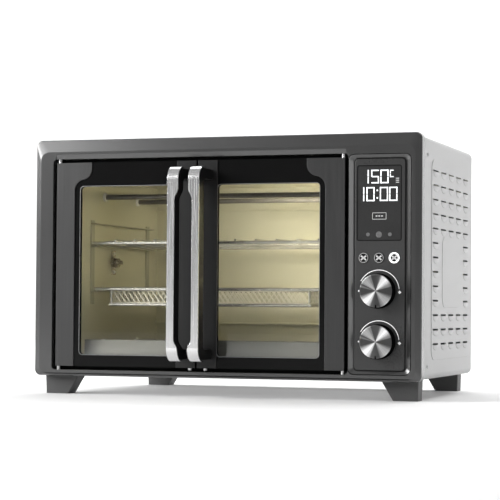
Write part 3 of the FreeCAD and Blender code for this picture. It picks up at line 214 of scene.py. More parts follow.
GRAIN, BRUSHED, EDGES = make_grain(), make_brushed(), make_edges()


def place(tree, group, **values):
    """A group placed in a material with its own values; an underscore stands for a space."""
    node = add(tree, "Group", node_tree=group)
    for key, value in values.items():
        node.inputs[key.replace("_", " ")].default_value = value
    return node


def grey(value, tint=(1, 1, 1)):
    """A grey of that strength, tinted if asked."""
    return (value * tint[0], value * tint[1], value * tint[2], 1)


def blank(name):
    """A new material and its shader."""
    material = bpy.data.materials.new(name)
    material.use_nodes = True
    return material, material.node_tree, material.node_tree.nodes["Principled BSDF"]


def finish(name, colour, rough, metallic=0.0, variation=0.06, rough_variation=0.05, patch=14.0,
           grain=900.0, stretch=None, bump=0.05, bump_depth=0.00005, edge=0.0006, wear=0.3,
           wear_colour=None, coat=0.0, coat_rough=0.1, specular=0.5):
    """A solid finish: grain or brushed lines, rubbed edges and a fine bump."""
    material, tree, shader = blank(name)
    if stretch:
        base = place(tree, BRUSHED, Color=colour, Stretch=stretch, Variation=variation,
                     Roughness=rough, Rough_Variation=rough_variation)
    else:
        base = place(tree, GRAIN, Color=colour, Variation=variation, Patch_Scale=patch,
                     Grain_Scale=grain, Roughness=rough, Rough_Variation=rough_variation)
    lighter = wear_colour or tuple(min(1.0, 1.8 * c + 0.03) for c in colour[:3]) + (1,)
    edges = place(tree, EDGES, Rubbed_Color=lighter, Width=edge, Amount=wear)
    tree.links.new(base.outputs["Color"], edges.inputs["Color"])
    tree.links.new(edges.outputs["Color"], shader.inputs["Base Color"])
    tree.links.new(base.outputs["Roughness"], shader.inputs["Roughness"])
    relief = add(tree, "Bump")
    relief.inputs["Strength"].default_value = bump
    relief.inputs["Distance"].default_value = bump_depth
    tree.links.new(base.outputs["Height"], relief.inputs["Height"])
    tree.links.new(edges.outputs["Normal"], relief.inputs["Normal"])
    tree.links.new(relief.outputs["Normal"], shader.inputs["Normal"])
    shader.inputs["Metallic"].default_value = metallic
    shader.inputs["Coat Weight"].default_value = coat
    shader.inputs["Coat Roughness"].default_value = coat_rough
    shader.inputs["Specular IOR Level"].default_value = specular
    return material


# Tints, and the stretch of brushed lines that run up or across.
WARM, CREAM, IVORY = (1.0, 0.96, 0.74), (1, 0.95, 0.80), (1, 0.98, 0.93)
UPRIGHT = (1500.0, 1500.0, 14.0)
CROSSWISE = (14.0, 1500.0, 1500.0)

# Painted and moulded outer pieces.
graphite = finish("graphite_moulding", grey(0.078), 0.24, metallic=0.50, variation=0.05,
                  rough_variation=0.03, patch=9.0, bump=0.015, edge=0.0012, wear=0.45,
                  wear_colour=grey(0.24), coat=0.35, coat_rough=0.12)
case_paint = finish("silver_grey_paint", grey(0.50), 0.45, metallic=0.25, variation=0.03, patch=5.0,
                    edge=0.0004, wear=0.15)
foot_plastic = finish("black_foot_plastic", grey(0.055), 0.5, variation=0.10, grain=1400.0, bump=0.2,
                      edge=0.0008)
fascia_plastic = finish("satin_grey_fascia", grey(0.036), 0.30, variation=0.05, bump=0.05,
                        edge=0.0006, wear=0.3)
knob_black = finish("black_knob", grey(0.003), 0.6, variation=0.08, bump=0.03, wear=0.05,
                    wear_colour=grey(0.02), specular=0.0)
black_nylon = finish("black_nylon", grey(0.020), 0.42, variation=0.10, grain=1200.0, bump=0.12)
# Black for the mouth seal, used also for painted shade: lines in gaps and grooves and the keys' dark
# wells.
black_seal_and_shade = finish("black_seal_and_painted_shade", grey(0.008), 0.7, variation=0.15, grain=700.0, bump=0.2, wear=0.0,
                     specular=0.1)
dim_print = finish("printed_grey", grey(0.14), 0.5, variation=0.06, patch=200.0, wear=0.0)

# Doors.
door_gloss = finish("gloss_black_frame", grey(0.006), 0.16, variation=0.10, rough_variation=0.03,
                    bump=0.01, wear=0.10, edge=0.0005, specular=0.10)
door_lining = finish("matt_black_lining", grey(0.010), 0.45, variation=0.10, bump=0.03, wear=0.1,
                     specular=0.25)
grip_plastic = finish("black_grip_plastic", grey(0.007), 0.34, variation=0.08, bump=0.04, wear=0.12,
                      specular=0.14)
stile_steel = finish("dark_satin_steel", grey(0.060), 0.34, metallic=0.70, stretch=UPRIGHT,
                     variation=0.06, bump=0.03, edge=0.0007, wear=0.35, wear_colour=grey(0.45))
# A darker copy of the stile steel: the inner stiles are painted darker, standing in for the handles'
# shadow across them.
inner_stile_steel = finish("shaded_satin_steel", grey(0.022), 0.34, metallic=0.60, stretch=UPRIGHT,
                           variation=0.06, bump=0.02, edge=0.0006, wear=0.35,
                           wear_colour=grey(0.30))
bright_strip = finish("bright_satin_strip", grey(0.80), 0.24, metallic=1.0, stretch=UPRIGHT,
                      variation=0.025, bump=0.003, edge=0.0006, wear=0.2)
bead_steel = finish("window_bead", grey(0.35), 0.3, metallic=0.6, variation=0.05, patch=120.0,
                    wear=0.0)

# The cavity and what stands in it.
liner_steel = finish("warm_liner_steel", grey(0.62, WARM), 0.38, metallic=0.55, variation=0.06,
                     patch=9.0, wear=0.1)
guide_steel = finish("shelf_guide_steel", grey(0.44, WARM), 0.40, metallic=0.55, variation=0.08,
                     patch=30.0, wear=0.5, wear_colour=grey(0.62, WARM))
heater_tube = finish("heat_darkened_tube", grey(0.16, (1, 0.93, 0.85)), 0.45, metallic=0.6,
                     variation=0.15, patch=40.0)
plated_wire = finish("plated_wire", grey(0.72, (1, 0.98, 0.92)), 0.24, metallic=0.75, variation=0.08,
                     patch=80.0, wear=0.0)
net_wire = finish("net_wire", grey(0.80, (1, 0.96, 0.84)), 0.40, metallic=0.30, variation=0.08,
                  patch=80.0, wear=0.0)
tray_steel = finish("tray_steel", grey(0.22, (1, 0.99, 0.92)), 0.36, metallic=0.60, variation=0.08,
                    patch=30.0, stretch=CROSSWISE, wear=0.3, wear_colour=grey(0.5))
probe_steel = finish("heat_tinted_steel", grey(0.55, (1, 0.90, 0.74)), 0.26, metallic=1.0,
                     variation=0.10, patch=200.0)
ceramic = finish("white_ceramic", grey(0.75, IVORY), 0.3, variation=0.04, patch=40.0)

# Hidden sheets, screws and electronics.
sheet_zinc = finish("zinc_sheet", grey(0.52), 0.42, metallic=0.8, variation=0.10, patch=60.0)
plain_steel = finish("plain_steel", grey(0.60), 0.30, metallic=1.0, variation=0.06, patch=200.0)
glass_wool = finish("glass_wool", grey(0.60, CREAM), 0.95, variation=0.20, patch=90.0, bump=0.8,
                    bump_depth=0.001, wear=0.0)
laminate = finish("circuit_laminate", (0.02, 0.16, 0.06, 1), 0.4, variation=0.12, patch=120.0)
motor_paint = finish("grey_motor_paint", grey(0.10), 0.5, metallic=0.3, variation=0.1)


def make_lens():
    """Smoked window over the display: nearly black, very smooth, with faint cloudy wipe marks."""
    material, tree, shader = blank("smoked_window")
    base = place(tree, GRAIN, Color=grey(0.034), Variation=0.12, Patch_Scale=30.0,
                 Roughness=0.14, Rough_Variation=0.03)
    tree.links.new(base.outputs["Color"], shader.inputs["Base Color"])
    tree.links.new(base.outputs["Roughness"], shader.inputs["Roughness"])
    shader.inputs["Coat Weight"].default_value = 0.6
    shader.inputs["Coat Roughness"].default_value = 0.03
    return material


def make_glass():
    """Clear door glass with faint wipe marks; light passes straight through it."""
    material, tree, shader = blank("door_glass")
    base = place(tree, GRAIN, Color=grey(0.93, (1, 1, 0.97)), Variation=0.02, Patch_Scale=22.0,
                 Grain_Scale=300.0, Roughness=0.015, Rough_Variation=0.012)
    tree.links.new(base.outputs["Color"], shader.inputs["Base Color"])
    tree.links.new(base.outputs["Roughness"], shader.inputs["Roughness"])
    shader.inputs["Transmission Weight"].default_value = 1.0
    shader.inputs["IOR"].default_value = 1.45
    clear = add(tree, "BsdfTransparent")
    clear.inputs["Color"].default_value = grey(0.86, (1, 1, 0.97))
    rays = add(tree, "LightPath")
    blend = add(tree, "MixShader")
    tree.links.new(rays.outputs["Is Shadow Ray"], blend.inputs["Fac"])
    tree.links.new(shader.outputs[0], blend.inputs[1])
    tree.links.new(clear.outputs[0], blend.inputs[2])
    tree.links.new(blend.outputs[0], tree.nodes["Material Output"].inputs["Surface"])
    return material


def make_lit(name, colour, strength):
    """A glowing mark, a little uneven as a backlight is: lit on the display and the third key's ring, a
    painted glow on the dial print and on the keys' painted rays.
    """
    material, tree, shader = blank(name)
    base = place(tree, GRAIN, Color=colour, Variation=0.08, Patch_Scale=260.0, Roughness=0.5)
    tree.links.new(base.outputs["Color"], shader.inputs["Base Color"])
    tree.links.new(base.outputs["Color"], shader.inputs["Emission Color"])
    tree.links.new(base.outputs["Roughness"], shader.inputs["Roughness"])
    shader.inputs["Emission Strength"].default_value = strength
    return material


# Painted sheen on a spun dial face: four bright wedges of painted highlight in its colour, whose edges
# are a little bent, standing in for how the light falls on it.
SHEEN_WEDGES, SHEEN_DEPTH = 4, 0.74
BEND = 2.2


def make_spun(name, centre):
    """Aluminium spun round a centre: fine rings, and a painted sheen of bright wedges that runs across
    them.
    """
    material, tree, shader = blank(name)
    where = add(tree, "TexCoord").outputs["Object"]
    arm = add(tree, "VectorMath", operation="SUBTRACT")
    arm.inputs[1].default_value = centre
    tree.links.new(where, arm.inputs[0])
    flat = add(tree, "VectorMath", operation="MULTIPLY")
    flat.inputs[1].default_value = (1, 0, 1)
    tree.links.new(arm.outputs[0], flat.inputs[0])
    reach = add(tree, "VectorMath", operation="LENGTH")
    tree.links.new(flat.outputs[0], reach.inputs[0])
    rings = add(tree, "TexNoise", noise_dimensions="1D")
    rings.inputs["Scale"].default_value = 2600
    rings.inputs["Detail"].default_value = 3
    tree.links.new(reach.outputs["Value"], rings.inputs["W"])
    ringed, _ = tinted(tree, steady(tree, grey(0.42)), rings.outputs["Fac"], 0.3, 0.7,
                       steady(tree, 0.16))
    # Painted highlight: bright and dark wedges, set by the angle round the centre, lighten and darken
    # the base colour.
    parts = add(tree, "SeparateXYZ")
    tree.links.new(arm.outputs[0], parts.inputs[0])
    bearing = add(tree, "Math", operation="ARCTAN2")
    tree.links.new(parts.outputs["Z"], bearing.inputs[0])
    tree.links.new(parts.outputs["X"], bearing.inputs[1])
    wisps = add(tree, "TexNoise", noise_dimensions="1D")
    wisps.inputs["Scale"].default_value = 5
    wisps.inputs["Detail"].default_value = 4
    tree.links.new(bearing.outputs[0], wisps.inputs["W"])
    bent = add(tree, "Math", operation="MULTIPLY_ADD")
    bent.inputs[1].default_value = BEND
    bent.inputs[2].default_value = -BEND / 2
    tree.links.new(wisps.outputs["Fac"], bent.inputs[0])
    repeated = add(tree, "Math", operation="MULTIPLY_ADD")
    repeated.inputs[1].default_value = SHEEN_WEDGES
    tree.links.new(bearing.outputs[0], repeated.inputs[0])
    tree.links.new(bent.outputs[0], repeated.inputs[2])
    sheen_wave = add(tree, "Math", operation="COSINE")
    tree.links.new(repeated.outputs[0], sheen_wave.inputs[0])
    painted_sheen, _ = tinted(tree, ringed, sheen_wave.outputs[0], 0.5, -1.0, steady(tree, SHEEN_DEPTH))
    tree.links.new(painted_sheen, shader.inputs["Base Color"])
    relief = add(tree, "Bump")
    relief.inputs["Strength"].default_value = 0.05
    relief.inputs["Distance"].default_value = 0.00003
    tree.links.new(rings.outputs["Fac"], relief.inputs["Height"])
    tree.links.new(relief.outputs["Normal"], shader.inputs["Normal"])
    around = add(tree, "VectorMath", operation="CROSS_PRODUCT")
    around.inputs[1].default_value = (0, 1, 0)
    tree.links.new(flat.outputs[0], around.inputs[0])
    turned = add(tree, "VectorTransform", vector_type="VECTOR", convert_from="OBJECT",
                 convert_to="WORLD")
    tree.links.new(around.outputs[0], turned.inputs[0])
    tree.links.new(turned.outputs[0], shader.inputs["Tangent"])
    shader.inputs["Metallic"].default_value = 1.0
    shader.inputs["Roughness"].default_value = 0.32
    shader.inputs["Anisotropic"].default_value = 0.85
    return material


lens_glass, door_glass = make_lens(), make_glass()
lit_white = make_lit("lit_segments", grey(0.90, (0.96, 0.98, 1.0)), 0.75)
# Faint glow for the display's marks, also used for the painted highlight of the keys' bright rays.
soft_glow_and_key_sheen = make_lit("soft_glow_and_painted_key_rays", grey(0.55), 0.15)
lit_ring = make_lit("lit_ring", grey(0.92), 0.8)
# Painted glow on the white print of the dial arcs, which is no lamp.
glowing_print = make_lit("white_print_painted_glow", grey(0.90), 0.22)


# ---------------------------------------------------------------- finishes of the CAD nodes

FINISHES = {
    "front_bezel": graphite,
    "outer_case": case_paint,
    "rear_cover": case_paint,
    "rear_panel": case_paint,
    "base_plate": sheet_zinc,
    "cavity_liner": liner_steel,
    "left_rack_guide": guide_steel,
    "right_rack_guide": guide_steel,
    "crumb_tray": tray_steel,
    "left_inner_panel": door_lining,
    "right_inner_panel": door_lining,
    "insulation_blanket": glass_wool,
    "heating_tubes": heater_tube,
    "wire_rack": plated_wire,
    "basket_frame": plated_wire,
    "basket_mesh": plated_wire,
    "temperature_probe": probe_steel,
    "fan_guard": sheet_zinc,
    "convection_fan": sheet_zinc,
    "heat_shield": sheet_zinc,
    "fan_motor": motor_paint,
    "motor_shaft": plain_steel,
    "cooling_fan": black_nylon,
    "oven_lamp": ceramic,
    "power_board": laminate,
    "control_board": laminate,
    "cord_gland": black_nylon,
    "rear_spacers": black_nylon,
    "panel_screws": plain_steel,
    "control_fascia": fascia_plastic,
    "display_lens": lens_glass,
    "display_module": black_nylon,
    "dial_encoders": black_nylon,
    "upper_knob": knob_black,
    "lower_knob": knob_black,
}
for foot in ("front_left", "front_right", "rear_left", "rear_right"):
    FINISHES[f"{foot}_foot"] = foot_plastic
for key in ("light", "convection", "turbo"):
    FINISHES[f"{key}_key"] = fascia_plastic
for side in ("left", "right"):
    FINISHES[f"{side}_door_frame"] = door_gloss
    FINISHES[f"{side}_door_glass"] = door_glass
    FINISHES[f"{side}_outer_stile"] = stile_steel
    FINISHES[f"{side}_inner_stile"] = inner_stile_steel
    FINISHES[f"{side}_handle_strip"] = bright_strip
    FINISHES[f"{side}_handle_grip"] = grip_plastic
    FINISHES[f"{side}_hinge_pins"] = plain_steel
    FINISHES[f"{side}_door_catch"] = plain_steel
for dial in ("upper", "lower"):
    low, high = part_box(f"{dial}_knob_cap")
    FINISHES[f"{dial}_knob_cap"] = make_spun(f"{dial}_spun_aluminium_and_sheen", (Vector(low) + Vector(high)) / 2)

for name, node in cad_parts.items():
    for slot in node.material_slots:
        slot.material = FINISHES[name]


# ---------------------------------------------------------------- new pieces

def add_piece(name, shape, body, material, stands_for=()):
    """Turns a finished bmesh into a piece that rides on a body."""
    mesh = bpy.data.meshes.new(name)
    shape.to_mesh(mesh)
    shape.free()
    item = bpy.data.objects.new(name, mesh)
    mesh.materials.append(material)
    scene.collection.objects.link(item)
    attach(item, body)
    if stands_for:
        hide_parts(*stands_for)


def round_off(shape, geom, radius, steps, affect="EDGES"):
    """Rounds edges, or the corners of a flat face, to a radius in millimetres."""
    bmesh.ops.bevel(shape, geom=geom, offset=radius * MM, offset_type="OFFSET", segments=steps,
                    profile=0.5, affect=affect, material=-1)


def edges_of(verts):
    """Every edge that touches these vertices, once each and in a fixed order."""
    return list(dict.fromkeys(edge for vert in verts for edge in vert.link_edges))


def moved_verts(geom):
    """The vertices among what an extrusion made."""
    return [item for item in geom if isinstance(item, bmesh.types.BMVert)]


def add_block(shape, centre, size, round_by=0.0, turn=None):
    """A box of that size in millimetres with rounded edges, about a centre."""
    place_at = Matrix.Translation(at(*centre))
    if turn:
        place_at = place_at @ turn
    stretch = Matrix.Diagonal((*(Vector(size) * MM), 1))
    made = bmesh.ops.create_cube(shape, size=1, matrix=place_at @ stretch)
    if round_by:
        round_off(shape, edges_of(made["verts"]), round_by, 2)


def add_ring(shape, centre, inner, outer, thick, start=0.0, sweep=360.0, steps=64):
    """A flat ring facing the front, or part of one, spun from a small rectangle."""
    first = Matrix.Rotation(math.radians(start), 3, "Y")
    corners = []
    for radius, depth in ((inner, 0), (outer, 0), (outer, -thick), (inner, -thick)):
        arm = first @ Vector((radius * MM, 0, 0))
        corners.append(shape.verts.new(at(*centre) + arm + Vector((0, depth * MM, 0))))
    face = shape.faces.new(corners)
    full = sweep >= 360
    bmesh.ops.spin(shape, geom=[face, *face.edges, *face.verts], cent=at(*centre), axis=(0, 1, 0),
                   angle=math.radians(sweep), steps=steps, use_merge=full, use_duplicate=False)
    if full:
        bmesh.ops.delete(shape, geom=[face], context="FACES_ONLY")


def tidy_shell(shape):
    """Merges doubles and turns every face outwards."""
    bmesh.ops.remove_doubles(shape, verts=shape.verts, dist=1e-6)
    bmesh.ops.recalc_face_normals(shape, faces=shape.faces)
    return shape


# The bars that are lit for each mark of a seven-bar digit, lettered clockwise from the top.
SEGMENTS = {"0": "abcdef", "1": "bc", "5": "acdfg", "C": "adef"}
BAR_GAP = 0.35
MARK_THICK, MARK_ROUND = 0.12, 0.05

# Mark, left edge, lower edge, width, height and bar width of each digit, in millimetres.
DIGITS = (
    ("1", 197.6, 279.4, 2.6, 17.4, 1.5),
    ("5", 203.4, 279.4, 10.4, 17.4, 1.5),
    ("0", 215.6, 279.4, 10.8, 17.4, 1.5),
    ("C", 228.2, 287.2, 5.2, 9.2, 1.1),
    ("1", 191.8, 256.6, 2.6, 18.0, 1.5),
    ("0", 197.2, 256.6, 10.8, 18.0, 1.5),
    ("0", 215.0, 256.6, 10.8, 18.0, 1.5),
    ("0", 227.4, 256.6, 10.8, 18.0, 1.5),
)
COLON_X, COLON_HEIGHTS, COLON_SIZE = 211.6, (260.6, 270.4), 1.9

# The smaller marks: short bars beside the digits, a framed word bar, and three touch spots.
SIDE_BARS_X, SIDE_BARS_HEIGHTS = 238.2, (285.6, 283.0, 280.4)
MODE_X, MODE_Z, MODE_WIDE, MODE_TALL, MODE_LINE = 214.4, 237.4, 18.0, 8.2, 0.6
TOUCH_X, TOUCH_Z, TOUCH_SPREAD = 214.0, 213.6, 14.5


def add_mark(shape, x, depth, z, wide, tall):
    """A thin bar on the display window."""
    add_block(shape, (x, depth, z), (wide, MARK_THICK, tall), MARK_ROUND)


def add_digit(shape, depth, mark, left, low, wide, tall, stroke):
    """One seven-bar digit with small gaps between its bars."""
    half = stroke / 2
    middle = low + tall / 2
    upright = tall / 2 - BAR_GAP
    rise = BAR_GAP + upright / 2
    bars = {
        "a": (left + wide / 2, low + tall - half, wide - 2 * BAR_GAP, stroke),
        "g": (left + wide / 2, middle, wide - stroke, stroke),
        "d": (left + wide / 2, low + half, wide - 2 * BAR_GAP, stroke),
        "f": (left + half, middle + rise, stroke, upright),
        "e": (left + half, middle - rise, stroke, upright),
        "b": (left + wide - half, middle + rise, stroke, upright),
        "c": (left + wide - half, middle - rise, stroke, upright),
    }
    for bar in SEGMENTS[mark]:
        x, z, across, up = bars[bar]
        add_mark(shape, x, depth, z, across, up)


def make_display():
    """The lit digits and marks, just proud of the smoked window."""
    depth = span("display_lens")[0].y - 0.05
    shape = bmesh.new()
    for digit in DIGITS:
        add_digit(shape, depth, *digit)
    for z in COLON_HEIGHTS:
        add_mark(shape, COLON_X, depth, z, COLON_SIZE, COLON_SIZE)
    add_piece("lit_digits", shape, "oven", lit_white)

    shape = bmesh.new()
    for z in SIDE_BARS_HEIGHTS:
        add_mark(shape, SIDE_BARS_X, depth, z, 4.2, 1.1)
    for sign in (-1, 1):
        add_mark(shape, MODE_X, depth, MODE_Z + sign * MODE_TALL / 2, MODE_WIDE, MODE_LINE)
    for sign in (-1, 1):
        add_mark(shape, MODE_X + sign * MODE_WIDE / 2, depth, MODE_Z, MODE_LINE, MODE_TALL)
    for shift in (-3.6, 0, 3.6):
        add_mark(shape, MODE_X + shift, depth, MODE_Z, 2.4, 1.4)
    add_piece("lit_mode_marks", shape, "oven", soft_glow_and_key_sheen)

    shape = bmesh.new()
    add_ring(shape, (TOUCH_X, depth, TOUCH_Z), 0.2, 4.0, 0.1, steps=32)
    for shift in (-TOUCH_SPREAD, TOUCH_SPREAD):
        add_ring(shape, (TOUCH_X + shift, depth, TOUCH_Z + 0.2), 0.2, 2.4, 0.06, steps=24)
    add_piece("touch_marks", tidy_shell(shape), "oven", dim_print)


def front_middle(node):
    """Middle x, front depth and middle z of a round control."""
    low, high = span(node)
    return (low.x + high.x) / 2, low.y, (low.z + high.z) / 2


def turned_about_depth(degrees):
    """A turn within the front plane."""
    return Matrix.Rotation(math.radians(degrees), 4, "Y")


# Inner and outer radius of the thin ring on each key and of the lit ring on the third.
KEY_RING, LIT_RING = (5.6, 6.1), (4.9, 7.0)


def make_key_marks():
    """On each key a faintly glowing ring and crossed bars of painted highlight, the bright rays of its
    spun face, over a black well of painted shade; the third one has a lit ring.
    """
    for name in ("light", "convection", "turbo"):
        x, face, z = front_middle(f"{name}_key")
        depth = face + 0.25
        shape = bmesh.new()
        add_ring(shape, (x, depth, z), *KEY_RING, 0.35, steps=40)
        tidy_shell(shape)
        # Painted highlight: crossed bars for the four bright rays of the key's spun face.
        for angle in (38, -38):
            add_block(shape, (x, depth - 0.1, z), (8.8, 0.2, 2.0), 0.06, turned_about_depth(angle))
        add_piece(f"{name}_key_sheen_rays", shape, f"{name}_button", soft_glow_and_key_sheen)
        shape = bmesh.new()
        # Painted shade: a black disc for the dark wedges between the painted rays.
        add_ring(shape, (x, depth + 0.02, z), 0.3, KEY_RING[0], 0.12, steps=40)
        add_piece(f"{name}_key_painted_shade", tidy_shell(shape), f"{name}_button", black_seal_and_shade)
    x, face, z = front_middle("turbo_key")
    shape = bmesh.new()
    add_ring(shape, (x, face - 0.12, z), *LIT_RING, 0.1, steps=48)
    add_piece("turbo_key_lit_ring", tidy_shell(shape), "turbo_button", lit_ring)


# The printed arc round a dial, with a painted glow: its radii in millimetres, where it starts and how
# far it runs.
ARC_INNER, ARC_OUTER, ARC_START, ARC_SWEEP = 26.4, 27.4, -6, -146


def make_dial_marks():
    """The printed arc over each dial, given a painted glow, with a diamond at its right end and a small
    one at its left.
    """
    front = span("control_fascia")[0].y
    for dial in ("upper", "lower"):
        x, _, z = front_middle(f"{dial}_knob")
        shape = bmesh.new()
        add_ring(shape, (x, front, z), ARC_INNER, ARC_OUTER, 0.06, ARC_START, ARC_SWEEP, steps=60)
        tidy_shell(shape)
        for place_x, place_z, size, round_by in (
            (x + ARC_OUTER, z - 1.5, 3.2, 0.0),
            (x - ARC_INNER, z, 2.0, 0.02),
        ):
            add_block(shape, (place_x, front - 0.03, place_z), (size, 0.06, size), round_by,
                      turned_about_depth(45))
        add_piece(f"{dial}_dial_marks", shape, "oven", glowing_print)


def add_frame(shape, low, high, corner, width, front, thick):
    """A flat frame with round corners, from its outer edge inwards, lying between two depths."""
    known = set(shape.faces)
    (x0, z0), (x1, z1) = low, high
    depth = front + thick
    verts = [shape.verts.new(at(x, depth, z)) for x, z in ((x0, z0), (x1, z0), (x1, z1), (x0, z1))]
    shape.faces.new(verts)
    round_off(shape, verts, corner, 6, "VERTICES")
    face = next(face for face in shape.faces if face not in known)
    bmesh.ops.inset_region(shape, faces=[face], thickness=width * MM, use_boundary=True,
                           use_even_offset=True)
    bmesh.ops.delete(shape, geom=[face], context="FACES")
    ring = [face for face in shape.faces if face not in known]
    pushed = bmesh.ops.extrude_face_region(shape, geom=ring, use_keep_orig=True)
    bmesh.ops.translate(shape, verts=moved_verts(pushed["geom"]), vec=(0, -thick * MM, 0))


def frame_round(shape, node, reach, corner, width, front, thick):
    """A frame whose outer edge lies that far outside a node's outline, its depth from the node's."""
    low, high = span(node)
    add_frame(shape, (low.x - reach, low.z - reach), (high.x + reach, high.z + reach), corner, width,
              low.y + front, thick)


def make_window_beads(side):
    """The fine bright line round each window."""
    shape = bmesh.new()
    set_back = span(f"{side}_door_frame")[0].y - span(f"{side}_door_glass")[0].y
    frame_round(shape, f"{side}_door_glass", reach=-3.2, corner=5.4, width=0.7,
                front=set_back - 0.15, thick=0.15)
    add_piece(f"{side}_window_bead", tidy_shell(shape), f"{side}_door", bead_steel)


def loose_copies(shape, mesh, places):
    """Adds a copy of a small mesh at every place, each place being a matrix."""
    for place_at in places:
        known = len(shape.verts)
        shape.from_mesh(mesh)
        shape.verts.ensure_lookup_table()
        bmesh.ops.transform(shape, matrix=place_at, verts=shape.verts[known:])


# The control column: its middle, and half the width between its two grooves.
COLUMN_X, COLUMN_HALF = 215.2, 40.9


def make_seal_and_shade_lines():
    """A black seal round the cavity's mouth, which also stands in for the shade in the door gaps, and
    black lines of painted shade in the gaps round the fascia and its window, in the bezel's grooves and
    along its bottom lip.
    """
    shape = bmesh.new()
    add_frame(shape, (-243.4, 33.4), (173.3, 318.5), corner=4.9, width=17.0, front=16.9, thick=1.0)
    add_piece("mouth_seal", tidy_shell(shape), "oven", black_seal_and_shade)
    # Painted shade: black lines in the gaps round the fascia and its window, in the grooves round the
    # control column and along the bezel's bottom lip.
    shape = bmesh.new()
    frame_round(shape, "control_fascia", reach=0.85, corner=5.2, width=0.8, front=0.3, thick=1.0)
    frame_round(shape, "display_lens", reach=0.9, corner=3.2, width=1.3, front=-0.35, thick=0.3)
    reach = COLUMN_HALF + 1.0
    add_frame(shape, (COLUMN_X - reach, 33.6), (COLUMN_X + reach, 317.8), corner=7.9, width=0.9,
              front=0.9, thick=0.5)
    add_block(shape, (0, 0.85, 28.4), (508, 0.5, 2.0), 0.1)
    add_piece("painted_shade_lines", tidy_shell(shape), "oven", black_seal_and_shade)


# Half height, half length and height off the wall of a louvre hood.
HOOD_TALL, HOOD_LONG, HOOD_OUT = 7.2, 15.6, 1.55
# The louvres: rows and columns, the first one's depth and height, and the steps between them.
LOUVRE_ROWS, LOUVRE_COLUMNS = 13, 5
LOUVRE_Y, LOUVRE_STEP_Y = 90, 46
LOUVRE_Z, LOUVRE_STEP_Z = 300.5, 19
PLAIN_ROWS, PLAIN_COLUMNS = range(5, 10), range(1, 4)


def make_hood_mesh():
    """One pressed louvre hood: a shallow swelling that is cut off flat along its top edge."""
    shape = bmesh.new()
    bmesh.ops.create_uvsphere(
        shape, u_segments=20, v_segments=12, radius=1,
        matrix=Matrix.Diagonal((HOOD_OUT * MM, HOOD_LONG * MM, HOOD_TALL * MM, 1)),
    )
    for away in ((0, 0, 1), (-1, 0, 0)):
        bmesh.ops.bisect_plane(shape, geom=[*shape.verts, *shape.edges, *shape.faces], dist=1e-7,
                               plane_co=(0, 0, 0), plane_no=away, clear_outer=True)
    bmesh.ops.holes_fill(shape, edges=[edge for edge in shape.edges if edge.is_boundary])
    bmesh.ops.recalc_face_normals(shape, faces=shape.faces)
    mesh = bpy.data.meshes.new("louvre_hood")
    shape.to_mesh(mesh)
    shape.free()
    return mesh


def louvre_places():
    """Depth and height of every slit of a side wall; the middle ones give way to a plain field."""
    for row in range(LOUVRE_ROWS):
        for column in range(LOUVRE_COLUMNS):
            if not (row in PLAIN_ROWS and column in PLAIN_COLUMNS):
                yield LOUVRE_Y + LOUVRE_STEP_Y * column, LOUVRE_Z - LOUVRE_STEP_Z * row


def make_hoods():
    """The pressed hoods under the slits of both side walls."""
    hood = make_hood_mesh()
    wall = span("outer_case")[1].x - 0.55
    half_turn = Matrix.Rotation(math.pi, 4, "Z")
    for side, reach, turn in (("right", wall, Matrix.Identity(4)), ("left", -wall, half_turn)):
        shape = bmesh.new()
        loose_copies(shape, hood, [
            Matrix.Translation(at(reach, y, z - 1.1)) @ turn for y, z in louvre_places()
        ])
        add_piece(f"{side}_louvre_hoods", shape, "oven", case_paint)


# The notch at the bottom of a dial's face and the rounding of its rim.
NOTCH_HALF, NOTCH_DEEP, RIM_ROUND = 0.75, 3.4, 0.75
CAP_STEPS = 120


def make_cap(dial):
    """A dial's face: a spun disc with a bevelled rim and a notch cut into it at the bottom."""
    low, high = span(f"{dial}_knob_cap")
    x, z, radius = (low.x + high.x) / 2, (low.z + high.z) / 2, (high.x - low.x) / 2
    clear = math.asin(NOTCH_HALF / radius)
    outline = []
    for n in range(CAP_STEPS + 1):
        angle = -math.pi / 2 + clear + n / CAP_STEPS * 2 * (math.pi - clear)
        outline.append((radius * math.cos(angle), radius * math.sin(angle)))
    outline += [(-NOTCH_HALF, NOTCH_DEEP - radius), (NOTCH_HALF, NOTCH_DEEP - radius)]
    shape = bmesh.new()
    face = shape.faces.new([shape.verts.new(at(x + u, high.y, z + v)) for u, v in outline])
    pushed = bmesh.ops.extrude_face_region(shape, geom=[face])
    bmesh.ops.translate(shape, verts=moved_verts(pushed["geom"]), vec=(0, (low.y - high.y) * MM, 0))
    front = FACE + low.y * MM
    rim = [edge for edge in shape.edges if all(abs(vert.co.y - front) < 1e-6 for vert in edge.verts)]
    round_off(shape, rim, RIM_ROUND, 3)
    add_piece(f"{dial}_dial_face", tidy_shell(shape), f"{dial}_dial",
              FINISHES[f"{dial}_knob_cap"], [f"{dial}_knob_cap"])


def add_strand(shape, start, end, thick):
    """A thin square wire between two places in millimetres."""
    first, last = at(*start), at(*end)
    run = last - first
    turn = run.to_track_quat("X", "Z").to_matrix().to_4x4()
    bmesh.ops.create_cube(shape, size=1, matrix=Matrix.Translation((first + last) / 2) @ turn
                          @ Matrix.Diagonal((run.length, thick * MM, thick * MM, 1)))


# Wire widths of the basket's net: floor and sides, front and rear, and its rims.
NET_WIRE, NET_FINE, NET_COARSE, NET_RIM = 0.85, 0.6, 1.2, 1.1
# Spacing of its wires, how far they lean, and how far crossing wires lie apart.
NET_STEP, NET_LEAN, NET_APART = 7.2, 13.0, 0.5


